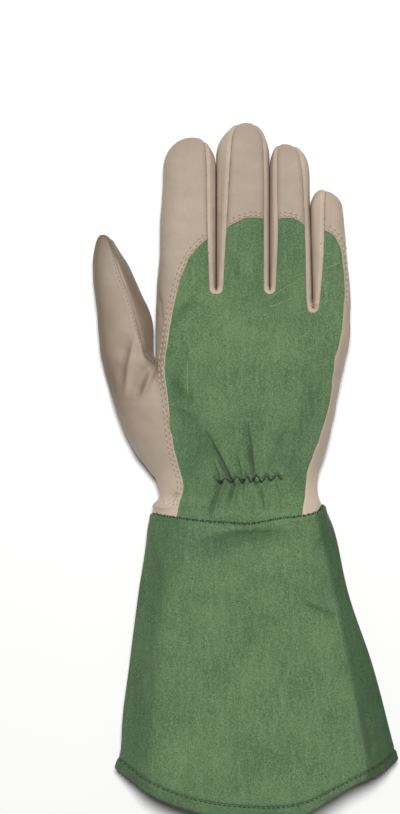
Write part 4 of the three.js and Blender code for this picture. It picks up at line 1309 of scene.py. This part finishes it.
# The pale cut edge of the leather, where it lies over the drill on the thumb side: short raised
# lengths that run into each other.
CUT_EDGE = 0.26
edge_line = inset(back_plan, -0.3)
edge_line = edge_line[(edge_line[:, 1] > -60) & (edge_line[:, 1] < 72) & (edge_line[:, 0] < 0)]
edge_runs = stitch_row(edge_line[::4], 2.6, -0.7, leathers, CUT_EDGE, 45)
raw_leather = plain_thread("raw_leather", paint(206, 199, 184))
threads("cut_edge", edge_runs, CUT_EDGE, "grain_leather", raw_leather)

# Finer, greyer stitches in the back of the thumb along its side strip, and a short row across
# the strip.
GUSSET_THREAD = 0.22
left_of_gusset = np.array(gusset_seam) + [-1.5, -0.3]
gusset_rows = stitch_row(left_of_gusset[::4], 1.7, 0.8, ("thumb_back",), GUSSET_THREAD, 50)
short_seam = [(-68.8, 42.8), (-64.5, 41.6), (-60.9, 38.9)]
gusset_rows += stitch_row(short_seam, 1.2, 0.7, ("gusset",), 0.18, 52)
gusset_thread = plain_thread("gusset_thread", paint(142, 144, 126))
threads("gusset_stitches", gusset_rows, GUSSET_THREAD, "grain_leather", gusset_thread)

# Needle holes at the ends of the stitches beside the drill back: the pull of the thread opens
# them into small pits in the leather. Each is a flat brown disc, painted dark as the shade
# inside the pit.
HOLE_RADIUS = 0.34
points, faces = [], []
turn = np.linspace(0, 2 * np.pi, 9)[:-1]
for run in rows:
    for place in (run[0] + (run[0] - run[1]) * 0.6, run[-1] + (run[-1] - run[-2]) * 0.6):
        hit = laid(place[0], place[1], leathers)
        if hit is None:
            continue
        place, normal = hit
        side = np.cross(normal, (0, 1.0, 0))
        side /= np.linalg.norm(side)
        over = np.cross(normal, side)
        ring_of_hole = np.cos(turn)[:, None] * side + np.sin(turn)[:, None] * over
        start = len(points)
        points += (place + normal * 0.05 + HOLE_RADIUS * ring_of_hole).tolist()
        points.append((place + normal * 0.07).tolist())
        faces += [[start + i, start + (i + 1) % 8, start + 8] for i in range(8)]
recipe = Recipe("needle_hole")
hole = recipe.surface({"Base Color": paint(128, 108, 90), "Roughness": 0.9, "Specular IOR Level": 0.05})
sewn_in("needle_holes", made_mesh(points, faces), "grain_leather", hole)

# The elastic that gathers the back lies under the drill. A zigzag of thick dark green thread
# holds it, from one corner of the shirring's two rows to the next.
SHIRRING_THREAD = 0.4
dark_green = plain_thread("dark_green_thread", paint(40, 58, 38))
corners = np.array(zigzag)
legs = [stitch(a, b, ("back_drill",), SHIRRING_THREAD) for a, b in zip(corners[:-1], corners[1:])]
legs = [leg for leg in legs if leg is not None]
threads("shirring_thread", legs, SHIRRING_THREAD, "cotton_drill", dark_green)

# The wrist seam is overcast with the same colour: short, slanting, uneven stitches over the
# cuff's upper edge.
OVERCAST = 0.26
dice = np.random.default_rng(60)
seam_line = curve(CUFF_TOP, 400)
short_runs = []
for x in np.arange(-58.5, 41, 1.15):
    x += dice.uniform(-0.3, 0.3)
    y = np.interp(x, seam_line[:, 0], seam_line[:, 1])
    start = np.array([x + dice.uniform(-0.5, 0.5), y + dice.uniform(0.0, 0.5)])
    end = np.array([x + dice.uniform(-0.5, 0.5), y - dice.uniform(0.7, 1.5)])
    run = stitch(start, end, ("drill", "leather"), OVERCAST)
    if run is not None:
        short_runs.append(run)
threads("wrist_seam_stitches", short_runs, OVERCAST, "cotton_drill", dark_green)

# A few sharp creases near the fingers, left from the way the glove was folded in its pack. They
# are paler than the drill, and made like a row of stitches that run into each other.
CREASE = 0.25
CREASE_PATHS = (
    [(-12.5, 100.6), (-5.5, 103.6)],
    [(-36.8, 79), (-36, 73), (-35.6, 66.7)],
    [(-38.9, 24), (-39.3, 14), (-38.9, 3.5)],
    [(35.4, 73.7), (42, 77.6), (49.3, 80.6)],
    [(9.3, 60.6), (17, 65.8), (24.9, 70.2), (30.2, 74)],
    [(7.5, 54.5), (15, 57.2), (23.2, 60.6)],
)
creases = []
for number, path in enumerate(CREASE_PATHS):
    creases += stitch_row(path, 2.4, -0.6, ("back_drill",), CREASE, 70 + number)
pale_crease = plain_thread("pale_crease", paint(138, 164, 122))
threads("pack_creases", creases, CREASE, "cotton_drill", pale_crease)

# Hem stitches: one row of dark brown thread just below the hem's upper line, through all its
# layers. Like the other stitches it is made on the upper side only.
HEM_THREAD = 0.3
hem_path = [(x, y + shown - 1.0) for x, y, shown in HEM_EDGE[1:-1]]
hem_rows = stitch_row(hem_path, 2.1, 0.7, ("hem", "cuff"), HEM_THREAD, 61, low=-240)
brown_thread = plain_thread("brown_thread", paint(58, 56, 42))
threads("hem_stitches", hem_rows, HEM_THREAD, "cotton_drill", brown_thread)

# A white table with a soft lamp above its far end, in a dim, even room, seen from straight
# above. None of these belong to the glove.
TABLE_TOP = -0.0004
table_corners = [(x, y, TABLE_TOP) for x, y in ((-20, -20), (20, -20), (20, 20), (-20, 20))]
floor_mesh = made_mesh(table_corners, [(0, 1, 2, 3)])
floor = bpy.data.objects.new("table", floor_mesh)
floor_mesh.materials.append(
    Recipe("white_table").surface(
        {"Base Color": (0.92, 0.92, 0.92, 1), "Roughness": 0.9, "Specular IOR Level": 0.1}
    )
)
bpy.context.scene.collection.objects.link(floor)
lamp = bpy.data.objects.new("lamp", bpy.data.lights.new("lamp", "AREA"))
lamp.data.shape = "DISK"
lamp.data.size = 0.8
lamp.data.energy = 80
lamp.location = (0.0, 0.75, 2.6)
lamp.rotation_euler = (-lamp.location).to_track_quat("-Z", "Y").to_euler()
bpy.context.scene.collection.objects.link(lamp)
world = bpy.data.worlds.new("room")
world.use_nodes = True
world.node_tree.nodes["Background"].inputs["Color"].default_value = (1.0, 0.94, 0.87, 1)
world.node_tree.nodes["Background"].inputs["Strength"].default_value = 0.09
bpy.context.scene.world = world
bpy.context.scene.view_settings.view_transform = "Standard"
camera = bpy.data.objects.new("camera", bpy.data.cameras.new("camera"))
camera.data.sensor_fit = "VERTICAL"
camera.data.sensor_height = 36
camera.data.sensor_width = 36
camera.data.lens = 100
camera.location = (-0.0319, -0.0029, 1.326)
bpy.context.scene.collection.objects.link(camera)
bpy.context.scene.camera = camera
